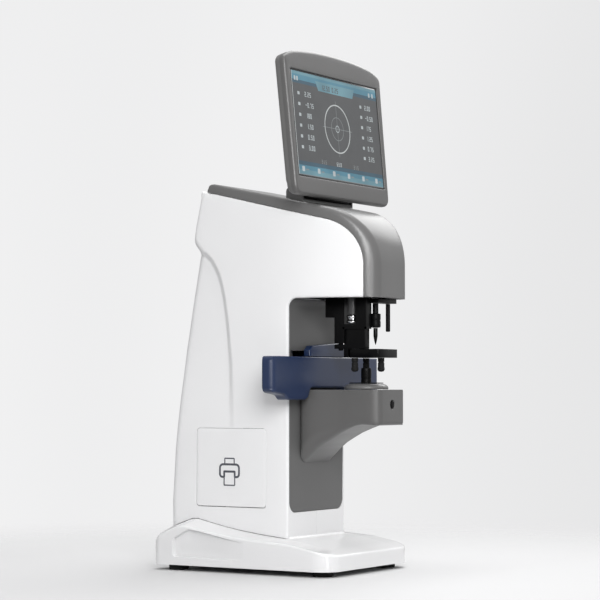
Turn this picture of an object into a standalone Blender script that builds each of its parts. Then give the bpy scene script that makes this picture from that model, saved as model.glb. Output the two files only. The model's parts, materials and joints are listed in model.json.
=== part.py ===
"""Desk-top automatic lensmeter (optician equipment) as an assembly of separate pieces.

Dimensions are in millimetres and become metres when a mesh is made. X runs to the operator's
right, Y to the rear, Z up. Drawings put Y = 0 at the front edge of the base; the "datum"
empty moves the whole model so that the origin is the centre of its footprint on the table.
"""
import math

import bmesh
import bpy
from mathutils import Matrix, Vector

# ------------------------------------------------------------------ driving dimensions (mm)
MM = 0.001
GAP = 0.3                      # clearance between pieces that touch in the real object
OPENING_GAP = 0.4              # clearance round the door and the rear panel
WALL = 2.6                     # moulded cover wall
SIDES = (("left", -1), ("right", 1))

# base
BASE_HALF_W, BASE_REAR, BASE_UNDER = 73.5, 186.8, 5.0
SHOULDER = 50.0                # the base slopes down outwards from here to its edge

# body and head
BODY_HALF_W = 50.0             # half width of the column behind Y_STRAIGHT
Y_STRAIGHT, PLAN_R = 80.0, 247.0
HEAD_FRONT, HEAD_CORNER_R, HEAD_UNDER = -21.5, 9.0, 242.5
Y_CENTRE = (HEAD_FRONT + BASE_REAR) / 2
COLUMN_FRONT = 57.5
STRIP_DEPTH = 11.5             # depth of the grey strip at the head's front
SEAM_FRONT, SEAM_REAR, SEAM_R = HEAD_FRONT + STRIP_DEPTH, 142.0, 41.0
RELIEF_DEPTH = 1.2             # step into the body's side behind the crease
PAST_SIDE, PAST_TOP = 60.0, 420.0   # tool limits beyond the body
PANEL_HALF_W, PANEL_BOTTOM, PANEL_R = 46.5, 53.0, 10.0

# optical axis, arm and nozzle
AXIS_Y = 5.8
AXIS = (0, AXIS_Y)
ARM_TOP, ARM_HALF_W, ARM_FRONT, ARM_WALL = 161.7, 25.7, -21.0, 2.8
BUTTON_Z = 148.6
NOZZLE_R, NOZZLE_BORE_R, NOZZLE_TOP = 4.6, 3.4, 181.0

# lens table, presser and marker
TABLE_HALF_W, TABLE_FRONT, TABLE_TOP = 93.0, 43.5, 190.8
RAIL_X, RAIL_Z, RAIL_R = 36.0, 174.0, 3.0
ROD_X, ROD_Y, ROD_R = 10.0, 26.0, 2.2
DAMPER = (-10, 13.7)           # damper axis (X, Y)
MARKER_Y = -3.8

# screen
TILT = 5.518                   # screen leans back at rest (degrees)
HINGE_Y, HINGE_Z = 50.5, 334.8
SCREEN_FACE = -22.8            # screen's front plane, from the hinge axis
DISPLAY_W, DISPLAY_H, DISPLAY_MID = 150.7, 94.2, 58.3
CRADLE_HALF_W, CRADLE_INNER = 43.6, 41.4
CRADLE_FRONT, CRADLE_REAR = 45.2, 62.6

# printer and rear panel
DOOR_Y0, DOOR_Y1, DOOR_Z0, DOOR_Z1 = 79.6, 154.0, 57.0, 127.0
ROLL_X, ROLL_Y, ROLL_Z = -26.5, 117.0, 88.0
ROLL_R, ROLL_BORE_R, ROLL_HALF_L = 18.5, 6.2, 29.0
PLATEN_X, PLATEN_Z, PLATEN_R, PLATEN_HALF_L = -40.0, 115.6, 5.0, 29.8
REAR_PANEL_HALF_W, REAR_PANEL_Z0, REAR_PANEL_Z1 = 36.0, 50.0, 100.0

# Middle of the base's upper surface (Y, Z): a long wedge rising to the rear, then falling.
BASE_TOP = [(0, 18.8), (15, 22.8), (40, 28.0), (60, 30.7), (83.8, 33.2), (105, 36.0),
            (122, 38.9), (140, 42.7), (153, 45.6), (159, 45.2), (170.6, 41.2),
            (181.7, 37.1), (BASE_REAR, 34.0)]
# How far the base's outer edge lies below its middle (Y, drop).
SHOULDER_DROP = [(0, 0), (40, 0.8), (61, 2.0), (84, 2.8), (105, 3.5), (140, 4.6),
                 (153, 5.2), (170, 6.0), (187, 6.5)]
# Rear silhouette of the body (Z, Y): a slow bow with a step inwards under the head.
REAR_LINE = [(30, 183.2), (60.7, 183.9), (106.5, 181.2), (152, 176.7), (198, 171.2),
             (243.5, 163.4), (279.7, 156.7), (286.9, 155.1), (294.3, 159.5)]

# ------------------------------------------------------------------ empty scene
for old in list(bpy.data.objects):
    bpy.data.objects.remove(old, do_unlink=True)
for old in list(bpy.data.collections):
    bpy.data.collections.remove(old)
PARTS = bpy.data.collections.new("lensmeter")
bpy.context.scene.collection.children.link(PARTS)
bpy.context.scene.unit_settings.length_unit = "MILLIMETERS"


# ------------------------------------------------------------------ materials
def material(name, colour, roughness, metallic=0.0, alpha=1.0):
    mat = bpy.data.materials.new(name)
    mat.use_nodes = True
    bsdf = mat.node_tree.nodes["Principled BSDF"]
    bsdf.inputs["Base Color"].default_value = (*colour, 1.0)
    bsdf.inputs["Roughness"].default_value = roughness
    bsdf.inputs["Metallic"].default_value = metallic
    bsdf.inputs["Alpha"].default_value = alpha
    mat.diffuse_color = (*colour, alpha)
    return mat


WHITE = material("white_shell", colour=(0.86, 0.86, 0.87), roughness=0.45)
GREY = material("grey_shell", colour=(0.17, 0.17, 0.17), roughness=0.5)
GREY_PANEL = material("grey_panel", colour=(0.13, 0.13, 0.13), roughness=0.55)
BLACK = material("black_plastic", colour=(0.012, 0.012, 0.013), roughness=0.4)
BLACK_METAL = material("black_anodised", colour=(0.02, 0.02, 0.022), roughness=0.35, metallic=0.6)
BLUE = material("blue_table", colour=(0.035, 0.06, 0.14), roughness=0.42)
RUBBER = material("rubber", colour=(0.02, 0.02, 0.02), roughness=0.85)
STEEL = material("steel", colour=(0.55, 0.56, 0.57), roughness=0.35, metallic=1.0)
ALU = material("aluminium", colour=(0.7, 0.7, 0.72), roughness=0.35, metallic=1.0)
CHROME = material("chrome", colour=(0.85, 0.85, 0.86), roughness=0.1, metallic=1.0)
BRASS = material("brass", colour=(0.75, 0.58, 0.25), roughness=0.3, metallic=1.0)
GLASS = material("glass", colour=(0.85, 0.9, 0.92), roughness=0.05, alpha=0.35)
SCREEN = material("display", colour=(0.03, 0.04, 0.05), roughness=0.15)
BOARD = material("circuit_board", colour=(0.02, 0.16, 0.08), roughness=0.5)
PAPER = material("paper", colour=(0.9, 0.9, 0.88), roughness=0.8)


# ------------------------------------------------------------------ outlines
def rounded(corners, steps=6):
    """Polygon corners (a, b, radius) with each corner replaced by its fillet arc."""
    out = []
    count = len(corners)
    for i, (a, b, radius) in enumerate(corners):
        here = Vector((a, b))
        before = Vector(corners[i - 1][:2]) - here
        after = Vector(corners[(i + 1) % count][:2]) - here
        if radius <= 0 or before.length < 1e-6 or after.length < 1e-6:
            out.append((a, b))
            continue
        before.normalize()
        after.normalize()
        angle = before.angle(after)
        if angle > math.pi - 1e-3:
            out.append((a, b))
            continue
        reach = radius / math.tan(angle / 2)
        centre = here + (before + after).normalized() * (radius / math.sin(angle / 2))
        start = here + before * reach - centre
        end = here + after * reach - centre
        swing = math.atan2(start.x * end.y - start.y * end.x, start.dot(end))
        for k in range(steps + 1):
            t = swing * k / steps
            out.append((centre.x + start.x * math.cos(t) - start.y * math.sin(t),
                        centre.y + start.x * math.sin(t) + start.y * math.cos(t)))
    return out


def rectangle(lo, hi, radius, far_radius=None, steps=4):
    """Rounded rectangle; `far_radius` is for the two corners at the high second coordinate."""
    far = radius if far_radius is None else far_radius
    return rounded([(lo[0], lo[1], radius), (hi[0], lo[1], radius),
                    (hi[0], hi[1], far), (lo[0], hi[1], far)], steps)


def interpolate(table, at):
    """Straight-line lookup in a table of (position, value)."""
    for (p0, v0), (p1, v1) in zip(table, table[1:]):
        if at <= p1:
            return v0 + (v1 - v0) * (at - p0) / (p1 - p0)
    return table[-1][1]


# ------------------------------------------------------------------ solids
def new_object(mesh, name="piece"):
    obj = bpy.data.objects.new(name, mesh)
    PARTS.objects.link(obj)
    return obj


def evaluated(obj):
    bpy.context.view_layer.update()
    graph = bpy.context.evaluated_depsgraph_get()
    return bpy.data.meshes.new_from_object(obj.evaluated_get(graph), depsgraph=graph)


def bake(obj):
    """Replace the mesh with the result of its modifiers."""
    mesh = evaluated(obj)
    obj.modifiers.clear()
    obj.data = mesh
    return obj


def prism(points, depth, frame):
    """A flat outline as a filled 2D curve, given a thickness, made a mesh and set in `frame`."""
    curve = bpy.data.curves.new("outline", "CURVE")
    curve.dimensions = "2D"
    curve.fill_mode = "BOTH"
    curve.extrude = depth * MM / 2
    spline = curve.splines.new("POLY")
    spline.points.add(len(points) - 1)
    for point, (a, b) in zip(spline.points, points):
        point.co = (a * MM, b * MM, 0.0, 1.0)
    spline.use_cyclic_u = True
    obj = new_object(curve)
    mesh = evaluated(obj)
    work = bmesh.new()
    work.from_mesh(mesh)
    bmesh.ops.remove_doubles(work, verts=work.verts, dist=1e-6)
    bmesh.ops.transform(work, matrix=frame, verts=work.verts)
    bmesh.ops.recalc_face_normals(work, faces=work.faces)
    work.to_mesh(mesh)
    work.free()
    bpy.data.objects.remove(obj, do_unlink=True)
    bpy.data.curves.remove(curve)
    return new_object(mesh)


def across_x(points, x0, x1):
    """Outline in (Y, Z), running from x0 to x1."""
    middle = (x0 + x1) / 2 * MM
    frame = Matrix(((0, 0, 1, middle), (1, 0, 0, 0), (0, 1, 0, 0), (0, 0, 0, 1)))
    return prism(points, x1 - x0, frame)


def along_y(points, y0, y1):
    """Outline in (X, Z), running from y0 to y1."""
    middle = (y0 + y1) / 2 * MM
    frame = Matrix(((1, 0, 0, 0), (0, 0, -1, middle), (0, 1, 0, 0), (0, 0, 0, 1)))
    return prism(points, y1 - y0, frame)


def up_z(points, z0, z1):
    """Outline in (X, Y), running from z0 to z1."""
    return prism(points, z1 - z0, Matrix.Translation((0, 0, (z0 + z1) / 2 * MM)))


def box(lo, hi):
    bpy.ops.mesh.primitive_cube_add(size=1.0)
    obj = bpy.context.active_object
    for owner in list(obj.users_collection):
        owner.objects.unlink(obj)
    PARTS.objects.link(obj)
    size = [(h - l) * MM for l, h in zip(lo, hi)]
    middle = [(h + l) / 2 * MM for l, h in zip(lo, hi)]
    obj.data.transform(Matrix.Translation(middle) @ Matrix.Diagonal((*size, 1.0)))
    return obj


def cylinder(radius, start, end, sides=24):
    """Round bar between two points."""
    work = bmesh.new()
    a, b = Vector(start) * MM, Vector(end) * MM
    bmesh.ops.create_cone(work, cap_ends=True, segments=sides, radius1=radius * MM,
                          radius2=radius * MM, depth=(b - a).length)
    turn = Vector((0, 0, 1)).rotation_difference((b - a).normalized()).to_matrix().to_4x4()
    bmesh.ops.transform(work, matrix=Matrix.Translation((a + b) / 2) @ turn, verts=work.verts)
    mesh = bpy.data.meshes.new("cylinder")
    work.to_mesh(mesh)
    work.free()
    return new_object(mesh)


def bar_y(radius, centre, y0, y1, sides=20):
    """Round bar along Y at centre (X, Z)."""
    x, z = centre
    return cylinder(radius, (x, y0, z), (x, y1, z), sides)


def bar_z(radius, centre, z0, z1, sides=24):
    """Round bar along Z at centre (X, Y)."""
    return cylinder(radius, (*centre, z0), (*centre, z1), sides)


def turned(profile, centre=(0, 0), sides=24):
    """(radius, Z) profile, down its outer side, turned about the upright axis at (X, Y).
    A profile that starts off the axis is closed into a ring."""
    work = bmesh.new()
    verts = [work.verts.new((r * MM, 0, z * MM)) for r, z in profile]
    for i in range(len(verts) - 1):
        work.edges.new((verts[i], verts[i + 1]))
    if profile[0][0] > 1e-6:
        work.edges.new((verts[-1], verts[0]))
    mesh = bpy.data.meshes.new("turned")
    work.to_mesh(mesh)
    work.free()
    obj = new_object(mesh)
    screw = obj.modifiers.new("turn", "SCREW")
    screw.axis = "Z"
    screw.angle = 2 * math.pi
    screw.steps = screw.render_steps = sides
    screw.use_merge_vertices = True
    screw.merge_threshold = 1e-5
    screw.use_smooth_shade = True
    bake(obj)
    work = bmesh.new()
    work.from_mesh(obj.data)
    bmesh.ops.remove_doubles(work, verts=work.verts, dist=1e-6)
    bmesh.ops.recalc_face_normals(work, faces=work.faces)
    bmesh.ops.translate(work, vec=Vector((*centre, 0)) * MM, verts=work.verts)
    work.to_mesh(obj.data)
    work.free()
    return obj


def turned_y(profile, centre, sides=20):
    """(radius, distance forward) profile turned about an axis along Y through `centre`."""
    obj = turned(profile, sides=sides)
    place = Matrix.Translation(Vector(centre) * MM)
    obj.data.transform(place @ Matrix.Rotation(math.pi / 2, 4, "X"))
    return obj


def boolean(obj, tool, operation):
    mod = obj.modifiers.new(operation.lower(), "BOOLEAN")
    mod.operation = operation
    mod.solver = "EXACT"
    mod.object = tool
    bake(obj)
    bpy.data.objects.remove(tool, do_unlink=True)


def cut(obj, *tools):
    for tool in tools:
        boolean(obj, tool, "DIFFERENCE")
    return obj


def join(obj, *others):
    for other in others:
        boolean(obj, other, "UNION")
    return obj


def common(obj, other):
    boolean(obj, other, "INTERSECT")
    return obj


def bevel(obj, width, segments):
    mod = obj.modifiers.new("edges", "BEVEL")
    mod.width = width * MM
    mod.segments = segments
    mod.limit_method = "ANGLE"
    mod.angle_limit = math.radians(60)
    mod.use_clamp_overlap = True
    return bake(obj)


# ------------------------------------------------------------------ finishing and joints
DATUM = new_object(None, "datum")
DATUM.location = (0, -Y_CENTRE * MM, 0)


def finish(obj, name, mat):
    """Name, colour and shade a piece and hang it on the datum; the last step on its shape."""
    obj.name = name
    obj.data.name = name
    obj.data.materials.clear()
    obj.data.materials.append(mat)
    for poly in obj.data.polygons:
        poly.material_index = 0
    obj.data.shade_smooth()
    obj.data.set_sharp_from_angle(angle=math.radians(32))
    obj.parent = DATUM
    return obj


def pivot(name, at, parent=None):
    """An empty on a joint's axis, at `at` in drawing coordinates."""
    empty = new_object(None, name)
    empty.parent = parent or DATUM
    base = Vector(parent["at"]) if parent else Vector((0, 0, 0))
    empty.location = (Vector(at) - base) * MM
    empty["at"] = list(at)
    return empty


def ride(empty, *objs):
    """Hang pieces on a joint, with their origins on its axis."""
    for obj in objs:
        obj.parent = empty
        obj.data.transform(Matrix.Translation(-Vector(empty["at"]) * MM))


# ------------------------------------------------------------------ shared body lines
def half_width(y):
    if y >= Y_STRAIGHT:
        return BODY_HALF_W
    forward = Y_STRAIGHT - y
    return BODY_HALF_W - (PLAN_R - math.sqrt(PLAN_R ** 2 - forward ** 2))


def plan_outline(inset=0.0, rear=190.0):
    """Body seen from above: parallel sides that draw in along an arc to a blunt front."""
    steps = 9
    front = HEAD_FRONT + inset
    start = min(Y_STRAIGHT, rear)
    corners = [(BODY_HALF_W - inset, rear, 0.0)] if rear > Y_STRAIGHT else []
    for k in range(steps):
        y = start + (front - start) * k / steps
        corners.append((half_width(y) - inset, y, 0.0))
    corners.append((half_width(front) - inset, front, max(HEAD_CORNER_R - inset, 2.0)))
    corners += [(-x, y, r) for x, y, r in reversed(corners)]
    return rounded(corners, 5)


def body_plan(inset=0.0):
    return up_z(plan_outline(inset), 0, PAST_TOP)


def strip_line(y):
    """Height of the grey strip's top."""
    return 331.6 + 0.2126 * (y - 62.0)


def seam_line(y):
    """Height of the seam between the white shells and the grey strip."""
    return 340.0 - 0.2365 * (SEAM_REAR - y)


def body_side():
    """White body seen from the side (Y, Z), closed."""
    lift = 0.4                 # clearance above the base
    foot_y = interpolate(REAR_LINE, 36)
    corners = [(COLUMN_FRONT, interpolate(BASE_TOP, COLUMN_FRONT) + lift, 0)]
    corners += [(y, z + lift, 0) for y, z in BASE_TOP[3:-1]]
    corners.append((foot_y - 0.2, interpolate(BASE_TOP, foot_y) + lift, 0))
    corners += [(y, z, 0) for z, y in REAR_LINE[1:]]
    corners += [(150.0, seam_line(150) + 0.3, 0),
                (SEAM_REAR, seam_line(SEAM_REAR), 0),
                (SEAM_FRONT, seam_line(SEAM_FRONT), SEAM_R),
                (SEAM_FRONT, HEAD_UNDER, 3.0),
                (COLUMN_FRONT, HEAD_UNDER, 8.0)]
    return rounded(corners, 7)


# ------------------------------------------------------------------ base
# Underside hollow (Y, Z).
BASE_HOLLOW = [(4, 0), (182, 0), (182, 28), (170, 33.5), (155, 39.5), (98, 31), (60, 26.5),
               (15, 18.8), (4, 15)]
# Finger recess in each side (Y, Z, corner radius).
GRIP = [(163.9, 13.5, 3), (163.9, 27.8, 2), (147, 36.2, 3), (138, 35.4, 0), (108, 30.0, 0),
        (82, 26.4, 0), (104, 12.3, 8)]
# Name, X, Y.
FEET = [("front_left", -55, 18), ("front_right", 55, 18),
        ("rear_left", -60, 166), ("rear_right", 60, 166)]
# Radius, Z.
FOOT_PROFILE = [(0, 4.7), (8.2, 4.7), (9, 3.9), (9, 1.0), (8.2, 0), (0, 0)]


def slope_shoulders(mesh):
    """Crease the top at both shoulders and lower everything outside them."""
    work = bmesh.new()
    work.from_mesh(mesh)
    for side in (-1, 1):
        bmesh.ops.bisect_plane(work, geom=work.verts[:] + work.edges[:] + work.faces[:],
                               plane_co=(side * SHOULDER * MM, 0, 0), plane_no=(1, 0, 0))
    bmesh.ops.triangulate(work, faces=work.faces)
    for vert in work.verts:
        x, y, z = (c / MM for c in vert.co)
        if abs(x) > SHOULDER and z > 14:   # leaves the underside flat
            outward = (abs(x) - SHOULDER) / (BASE_HALF_W - SHOULDER)
            vert.co.z -= interpolate(SHOULDER_DROP, y) * outward * MM
    work.to_mesh(mesh)
    work.free()


def base_shell():
    side = [(0, BASE_UNDER, 0), (BASE_REAR, BASE_UNDER, 2), (*BASE_TOP[-1], 5)]
    side += [(y, z, 4 if 150 < y < 160 else 0) for y, z in BASE_TOP[-2:0:-1]]
    side.append((*BASE_TOP[0], 2))
    base = across_x(rounded(side, 3), -BASE_HALF_W, BASE_HALF_W)
    plan = rectangle((-BASE_HALF_W, 0), (BASE_HALF_W, BASE_REAR), 18, 9, 6)
    common(base, up_z(plan, 0, 80))
    slope_shoulders(base.data)
    inside = across_x(BASE_HOLLOW, -58, 58)
    common(inside, up_z(rectangle((-58, 4), (58, 182), 16, 8), -5, 80))
    well = box((-40, 62, 20), (40, 170, 70))
    cut(base, inside, well)
    for x0 in (-76, 70.5):
        cut(base, across_x(rounded(GRIP, 3), x0, x0 + 5.5))
    finish(base, "base_shell", WHITE)


def base_plate():
    plan = rectangle((-57.5, 4.5), (57.5, 181.5), 15, 8)
    finish(up_z(plan, 5.2, 6.8), "base_plate", STEEL)


def feet():
    for place, x, y in FEET:
        finish(turned(FOOT_PROFILE, (x, y)), "foot_" + place, RUBBER)


# ------------------------------------------------------------------ white body shells
# Inside of the rear wall: Z, thickness beyond WALL.
INNER_REAR = [(60.7, 0), (106.5, 0), (152, 0), (198, 0), (243.5, 0), (279.7, 0.5), (294.3, 3)]
# Shallow relief behind the crease on the side (Y, Z, corner radius).
SIDE_RELIEF = [(190, 118, 0), (112.6, 118, 0), (113.7, 152.5, 0), (117, 206, 30),
               (123.4, 249.6, 30), (133, 275, 20), (150.7, 290.5, 4), (190, 300, 0)]


def body_half():
    """The left half of the white body: an open moulded shell that meets its twin at X = 0."""
    shell = across_x(body_side(), -PAST_SIDE, -GAP / 2)
    common(shell, body_plan())
    inner_front = COLUMN_FRONT + WALL
    hollow = [(inner_front, 20), (180.0, 20)]
    hollow += [(interpolate(REAR_LINE, z) - WALL - extra, z) for z, extra in INNER_REAR]
    hollow += [(147.5, 337.2), (139.2, 337.2), (139.2, 400), (-40, 400), (-40, 230),
               (inner_front, 230)]
    room = common(across_x(hollow, -PAST_SIDE, PAST_SIDE), body_plan(WALL))
    panel_hole = along_y(rectangle((-PANEL_HALF_W, PANEL_BOTTOM), (PANEL_HALF_W, 260),
                                   PANEL_R, 0), 50, 61.5)
    rear_half_w = REAR_PANEL_HALF_W + OPENING_GAP
    rear_hole = box((-rear_half_w, 170, REAR_PANEL_Z0 - OPENING_GAP),
                    (rear_half_w, 190, REAR_PANEL_Z1 + OPENING_GAP))
    relief = across_x(rounded(SIDE_RELIEF, 3), -PAST_SIDE, RELIEF_DEPTH - BODY_HALF_W)
    return cut(shell, room, panel_hole, rear_hole, relief)


def mirrored_copy(obj):
    """A copy of the piece reflected in X = 0."""
    twin = new_object(obj.data.copy())
    work = bmesh.new()
    work.from_mesh(twin.data)
    bmesh.ops.scale(work, vec=(-1, 1, 1), verts=work.verts)
    bmesh.ops.reverse_faces(work, faces=work.faces)
    work.to_mesh(twin.data)
    work.free()
    return twin


def body_shells():
    left = body_half()
    right = mirrored_copy(left)
    door_hole = rectangle((DOOR_Y0 - OPENING_GAP, DOOR_Z0 - OPENING_GAP),
                          (DOOR_Y1 + OPENING_GAP, DOOR_Z1 + OPENING_GAP), 3, steps=3)
    cut(left, across_x(door_hole, -PAST_SIDE, -40))
    finish(left, "body_shell_left", WHITE)
    finish(right, "body_shell_right", WHITE)


# ------------------------------------------------------------------ grey covers
def top_cover():
    """Grey strip over the top and down the head's front."""
    inner_front = SEAM_FRONT - GAP
    outer = [(143.2, seam_line(SEAM_REAR) + 0.4, 0), (142.2, 347.4, 3.5),
             (136.4, strip_line(136.4) + 0.3, 0),
             (HEAD_FRONT, strip_line(HEAD_FRONT), 52.0), (HEAD_FRONT, HEAD_UNDER, 0)]
    inner = [(inner_front, HEAD_UNDER, 0),
             (inner_front, seam_line(inner_front) + GAP, SEAM_R + GAP),
             (SEAM_REAR, seam_line(SEAM_REAR) + GAP, 0)]
    cover = across_x(rounded(outer + inner, 9), -PAST_SIDE, PAST_SIDE)
    common(cover, body_plan())
    room_front = HEAD_FRONT + 2.5
    room_side = [(139.5, 300, 0), (139.5, 344.5, 2), (136.4, strip_line(136.4) - 2.4, 0),
                 (room_front, strip_line(HEAD_FRONT) - 2.0, 49.5), (room_front, 200, 0)]
    room = across_x(rounded(room_side, 9), -PAST_SIDE, PAST_SIDE)
    cut(cover, common(room, body_plan(WALL)))
    finish(cover, "top_cover", GREY)


def front_panel():
    half_w = PANEL_HALF_W - GAP
    face = rectangle((-half_w, PANEL_BOTTOM + GAP), (half_w, HEAD_UNDER - 0.5), PANEL_R, 0)
    panel = along_y(face, COLUMN_FRONT, COLUMN_FRONT + 2.4)
    slider_slot = box((-44, 50, TABLE_TOP), (44, 70, 196.0))
    arm_way = box((-20, 50, 105), (20, 70, 150))
    cut(panel, slider_slot, arm_way)
    for _, side in SIDES:
        cut(panel, bar_y(4.2, (side * RAIL_X, RAIL_Z), 50, 70))
    finish(panel, "front_panel", GREY_PANEL)


def head_liner():
    """Plate closing the head from below, with ways for what passes through it."""
    liner = up_z(plan_outline(WALL + GAP, rear=56.6), 243.4, 245.4)
    window_way = bar_z(6.2, AXIS, 240, 250)
    damper_way = bar_z(5.4, DAMPER, 240, 250, 20)
    marker_way = box((9, -8.5, 240), (15, 9.4, 250))
    finish(cut(liner, window_way, damper_way, marker_way), "head_liner", BLACK)
    finish(bar_z(5.9, AXIS, 243.6, 245.2), "head_window", GLASS)


# ------------------------------------------------------------------ inner frame
# Upright channel, open to the rear (X, Y).
COLUMN_SECTION = [(-34, 63.5), (34, 63.5), (34, 92), (31.5, 92), (31.5, 66.5),
                  (-31.5, 66.5), (-31.5, 92), (-34, 92)]
# Channel in the head, open upwards (X, Z).
BEAM_SECTION = [(-22, 262), (22, 262), (22, 286), (19.5, 286), (19.5, 264.5),
                (-19.5, 264.5), (-19.5, 286), (-22, 286)]


def frame_column():
    frame = up_z(COLUMN_SECTION, 10.0, 318)
    floor = box((-34, 63.5, 7.2), (34, 150, 10.5))
    join(frame, floor)
    arm_way = box((-22, 60, 105), (22, 70, 150))
    tongue_way = box((-31, 60, 188), (31, 70, 199))
    cable_way = box((-12, 60, 215), (12, 70, 240))
    low_window = box((-24, 60, 30), (24, 70, 85))
    printer_way = box((-36, 67, 61), (-30, 95, 115))
    cut(frame, arm_way, tongue_way, cable_way, low_window, printer_way)
    for _, side in SIDES:
        x = side * RAIL_X
        cut(frame, box((x - 10, 60, RAIL_Z - 12), (x + 10, 95, RAIL_Z + 12)))
    finish(frame, "frame_column", ALU)


def head_beam():
    beam = along_y(BEAM_SECTION, -8, 63.2)
    tube_way = bar_z(8.2, AXIS, 255, 275)
    damper_way = bar_z(5.6, DAMPER, 255, 275, 20)
    marker_way = box((8.5, -9, 255), (15.5, 10.0, 275))
    finish(cut(beam, tube_way, damper_way, marker_way), "head_beam", ALU)


# ------------------------------------------------------------------ light source in the head
LENS_R, LENS_TOP, LENS_UNDER = 6.0, 258.9, 254.4
LENS_TOP_SAG, LENS_UNDER_SAG = 1.6, 0.9
LAMP_HALF_W = 11.0
# Radius, Z.
COLLIMATOR_PROFILE = [(7.6, 279.2), (7.6, 248), (5.3, 248), (5.3, 254), (6.3, 254), (6.3, 279.2)]


def collimator():
    finish(turned(COLLIMATOR_PROFILE, AXIS), "collimator_tube", BLACK_METAL)
    top = [(LENS_R * k / 4, LENS_TOP - LENS_TOP_SAG * (k / 4) ** 2) for k in range(5)]
    under = [(LENS_R * k / 4, LENS_UNDER + LENS_UNDER_SAG * (k / 4) ** 2)
             for k in range(4, -1, -1)]
    finish(turned(top + under, AXIS, 20), "collimator_lens", GLASS)


def lamp():
    front, rear = AXIS_Y - LAMP_HALF_W, AXIS_Y + LAMP_HALF_W
    board = box((-LAMP_HALF_W, front, 281.4), (LAMP_HALF_W, rear, 283.0))
    chip = bar_z(3.0, AXIS, 279.6, 282, 12)
    finish(join(board, chip), "lamp_board", BOARD)
    sink = box((-LAMP_HALF_W, front, 283.4), (LAMP_HALF_W, rear, 287))
    for k in range(5):
        x = -10.2 + 4.8 * k
        fin = box((x, front, 286.5), (x + 1.4, rear, 297))
        join(sink, fin)
    finish(sink, "lamp_heatsink", ALU)


# ------------------------------------------------------------------ lower arm
# Radius, Z for the turned pieces on the optical axis.
NOZZLE_BASE = [(5.0, 166.9), (15.2, 166.9), (17.6, 166.0), (19.3, 164.6), (19.8, 163.2),
               (19.5, 162.0), (5.0, 162.0)]
NOZZLE_SEAT = [(5.0, 168.0), (15.0, 168.0), (15.6, 167.2), (5.0, 167.2)]
NOZZLE = [(NOZZLE_BORE_R, NOZZLE_TOP), (NOZZLE_R, NOZZLE_TOP - 0.5), (NOZZLE_R, 154),
          (NOZZLE_BORE_R, 154)]
SENSOR_TUBE = [(6.6, 153.5), (9.5, 153.5), (9.5, 139.5), (6.6, 139.5)]
# Radius, distance forward.
BUTTON_PROFILE = [(0, 0.7), (2.4, 0.5), (3.3, 0.1), (3.6, -0.6), (3.6, -8), (0, -8)]


def arm_housing():
    arm_rear = COLUMN_FRONT - GAP
    side = [(ARM_FRONT, ARM_TOP, 0), (ARM_FRONT, 130.0, 1.5), (0, 130.6, 8), (22, 122.6, 18),
            (44, 110.2, 6), (arm_rear, 96.5, 0), (arm_rear, ARM_TOP, 0)]
    arm = across_x(rounded(side, 3), -40, 40)
    plan = [(-ARM_HALF_W, ARM_FRONT, 9), (ARM_HALF_W, ARM_FRONT, 9), (ARM_HALF_W, 46, 10),
            (30.5, 58.5, 0), (-30.5, 58.5, 0), (-ARM_HALF_W, 46, 10)]
    common(arm, up_z(rounded(plan, 5), 80, 180))
    inner_front, inner_top = ARM_FRONT + ARM_WALL, ARM_TOP - ARM_WALL
    hollow = [(inner_front, inner_top), (inner_front, 133.2), (2, 133.6), (24, 125.8),
              (46, 113.4), (60, 101), (60, inner_top)]
    room = across_x(hollow, -ARM_HALF_W + ARM_WALL, ARM_HALF_W - ARM_WALL)
    light_way = bar_z(7.0, AXIS, 150, 170, 20)
    button_way = bar_y(3.9, (0, BUTTON_Z), -30, -10)
    finish(cut(arm, room, light_way, button_way), "arm_housing", GREY)


def read_button():
    button = turned_y(BUTTON_PROFILE, (0, ARM_FRONT + 0.3, BUTTON_Z))
    finish(button, "read_button", BLACK)
    ride(pivot("read_press", (0, ARM_FRONT, BUTTON_Z)), button)


def nozzle_and_sensor():
    finish(turned(NOZZLE_BASE, AXIS, 32), "nozzle_base", GREY)
    finish(turned(NOZZLE_SEAT, AXIS, 32), "nozzle_seat", BLACK)
    finish(turned(NOZZLE, AXIS), "lens_nozzle", BLACK)
    finish(turned(SENSOR_TUBE, AXIS, 20), "sensor_tube", BLACK_METAL)
    board = box((-13, AXIS_Y - 13, 136.2), (13, AXIS_Y + 13, 137.8))
    chip = box((-5, AXIS_Y - 5, 137.5), (5, AXIS_Y + 5, 139.2))
    finish(join(board, chip), "sensor_board", BOARD)


# ------------------------------------------------------------------ lens table and PD slider
# Right half of the table's underside, from the middle outwards (X, Z, corner radius).
TABLE_UNDER = [(31.2, 163.2, 4), (36.5, 152.8, 7), (68, 152.8, 6), (73, 157.0, 8),
               (TABLE_HALF_W, 159.5, 5), (TABLE_HALF_W, TABLE_TOP, 2)]
# X, Z, corner radius.
SLIDER_FACE = [(-28.5, TABLE_TOP + 0.5, 0), (50, TABLE_TOP + 0.5, 0), (50, 198.4, 3),
               (30, 203.8, 6), (22, 203.8, 6), (-24, 200.8, 3), (-28.5, 197.0, 2)]
# Radius, distance forward.
BUSH_PROFILE = [(3.05, 0), (6, 0), (6, -18), (3.05, -18)]


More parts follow.
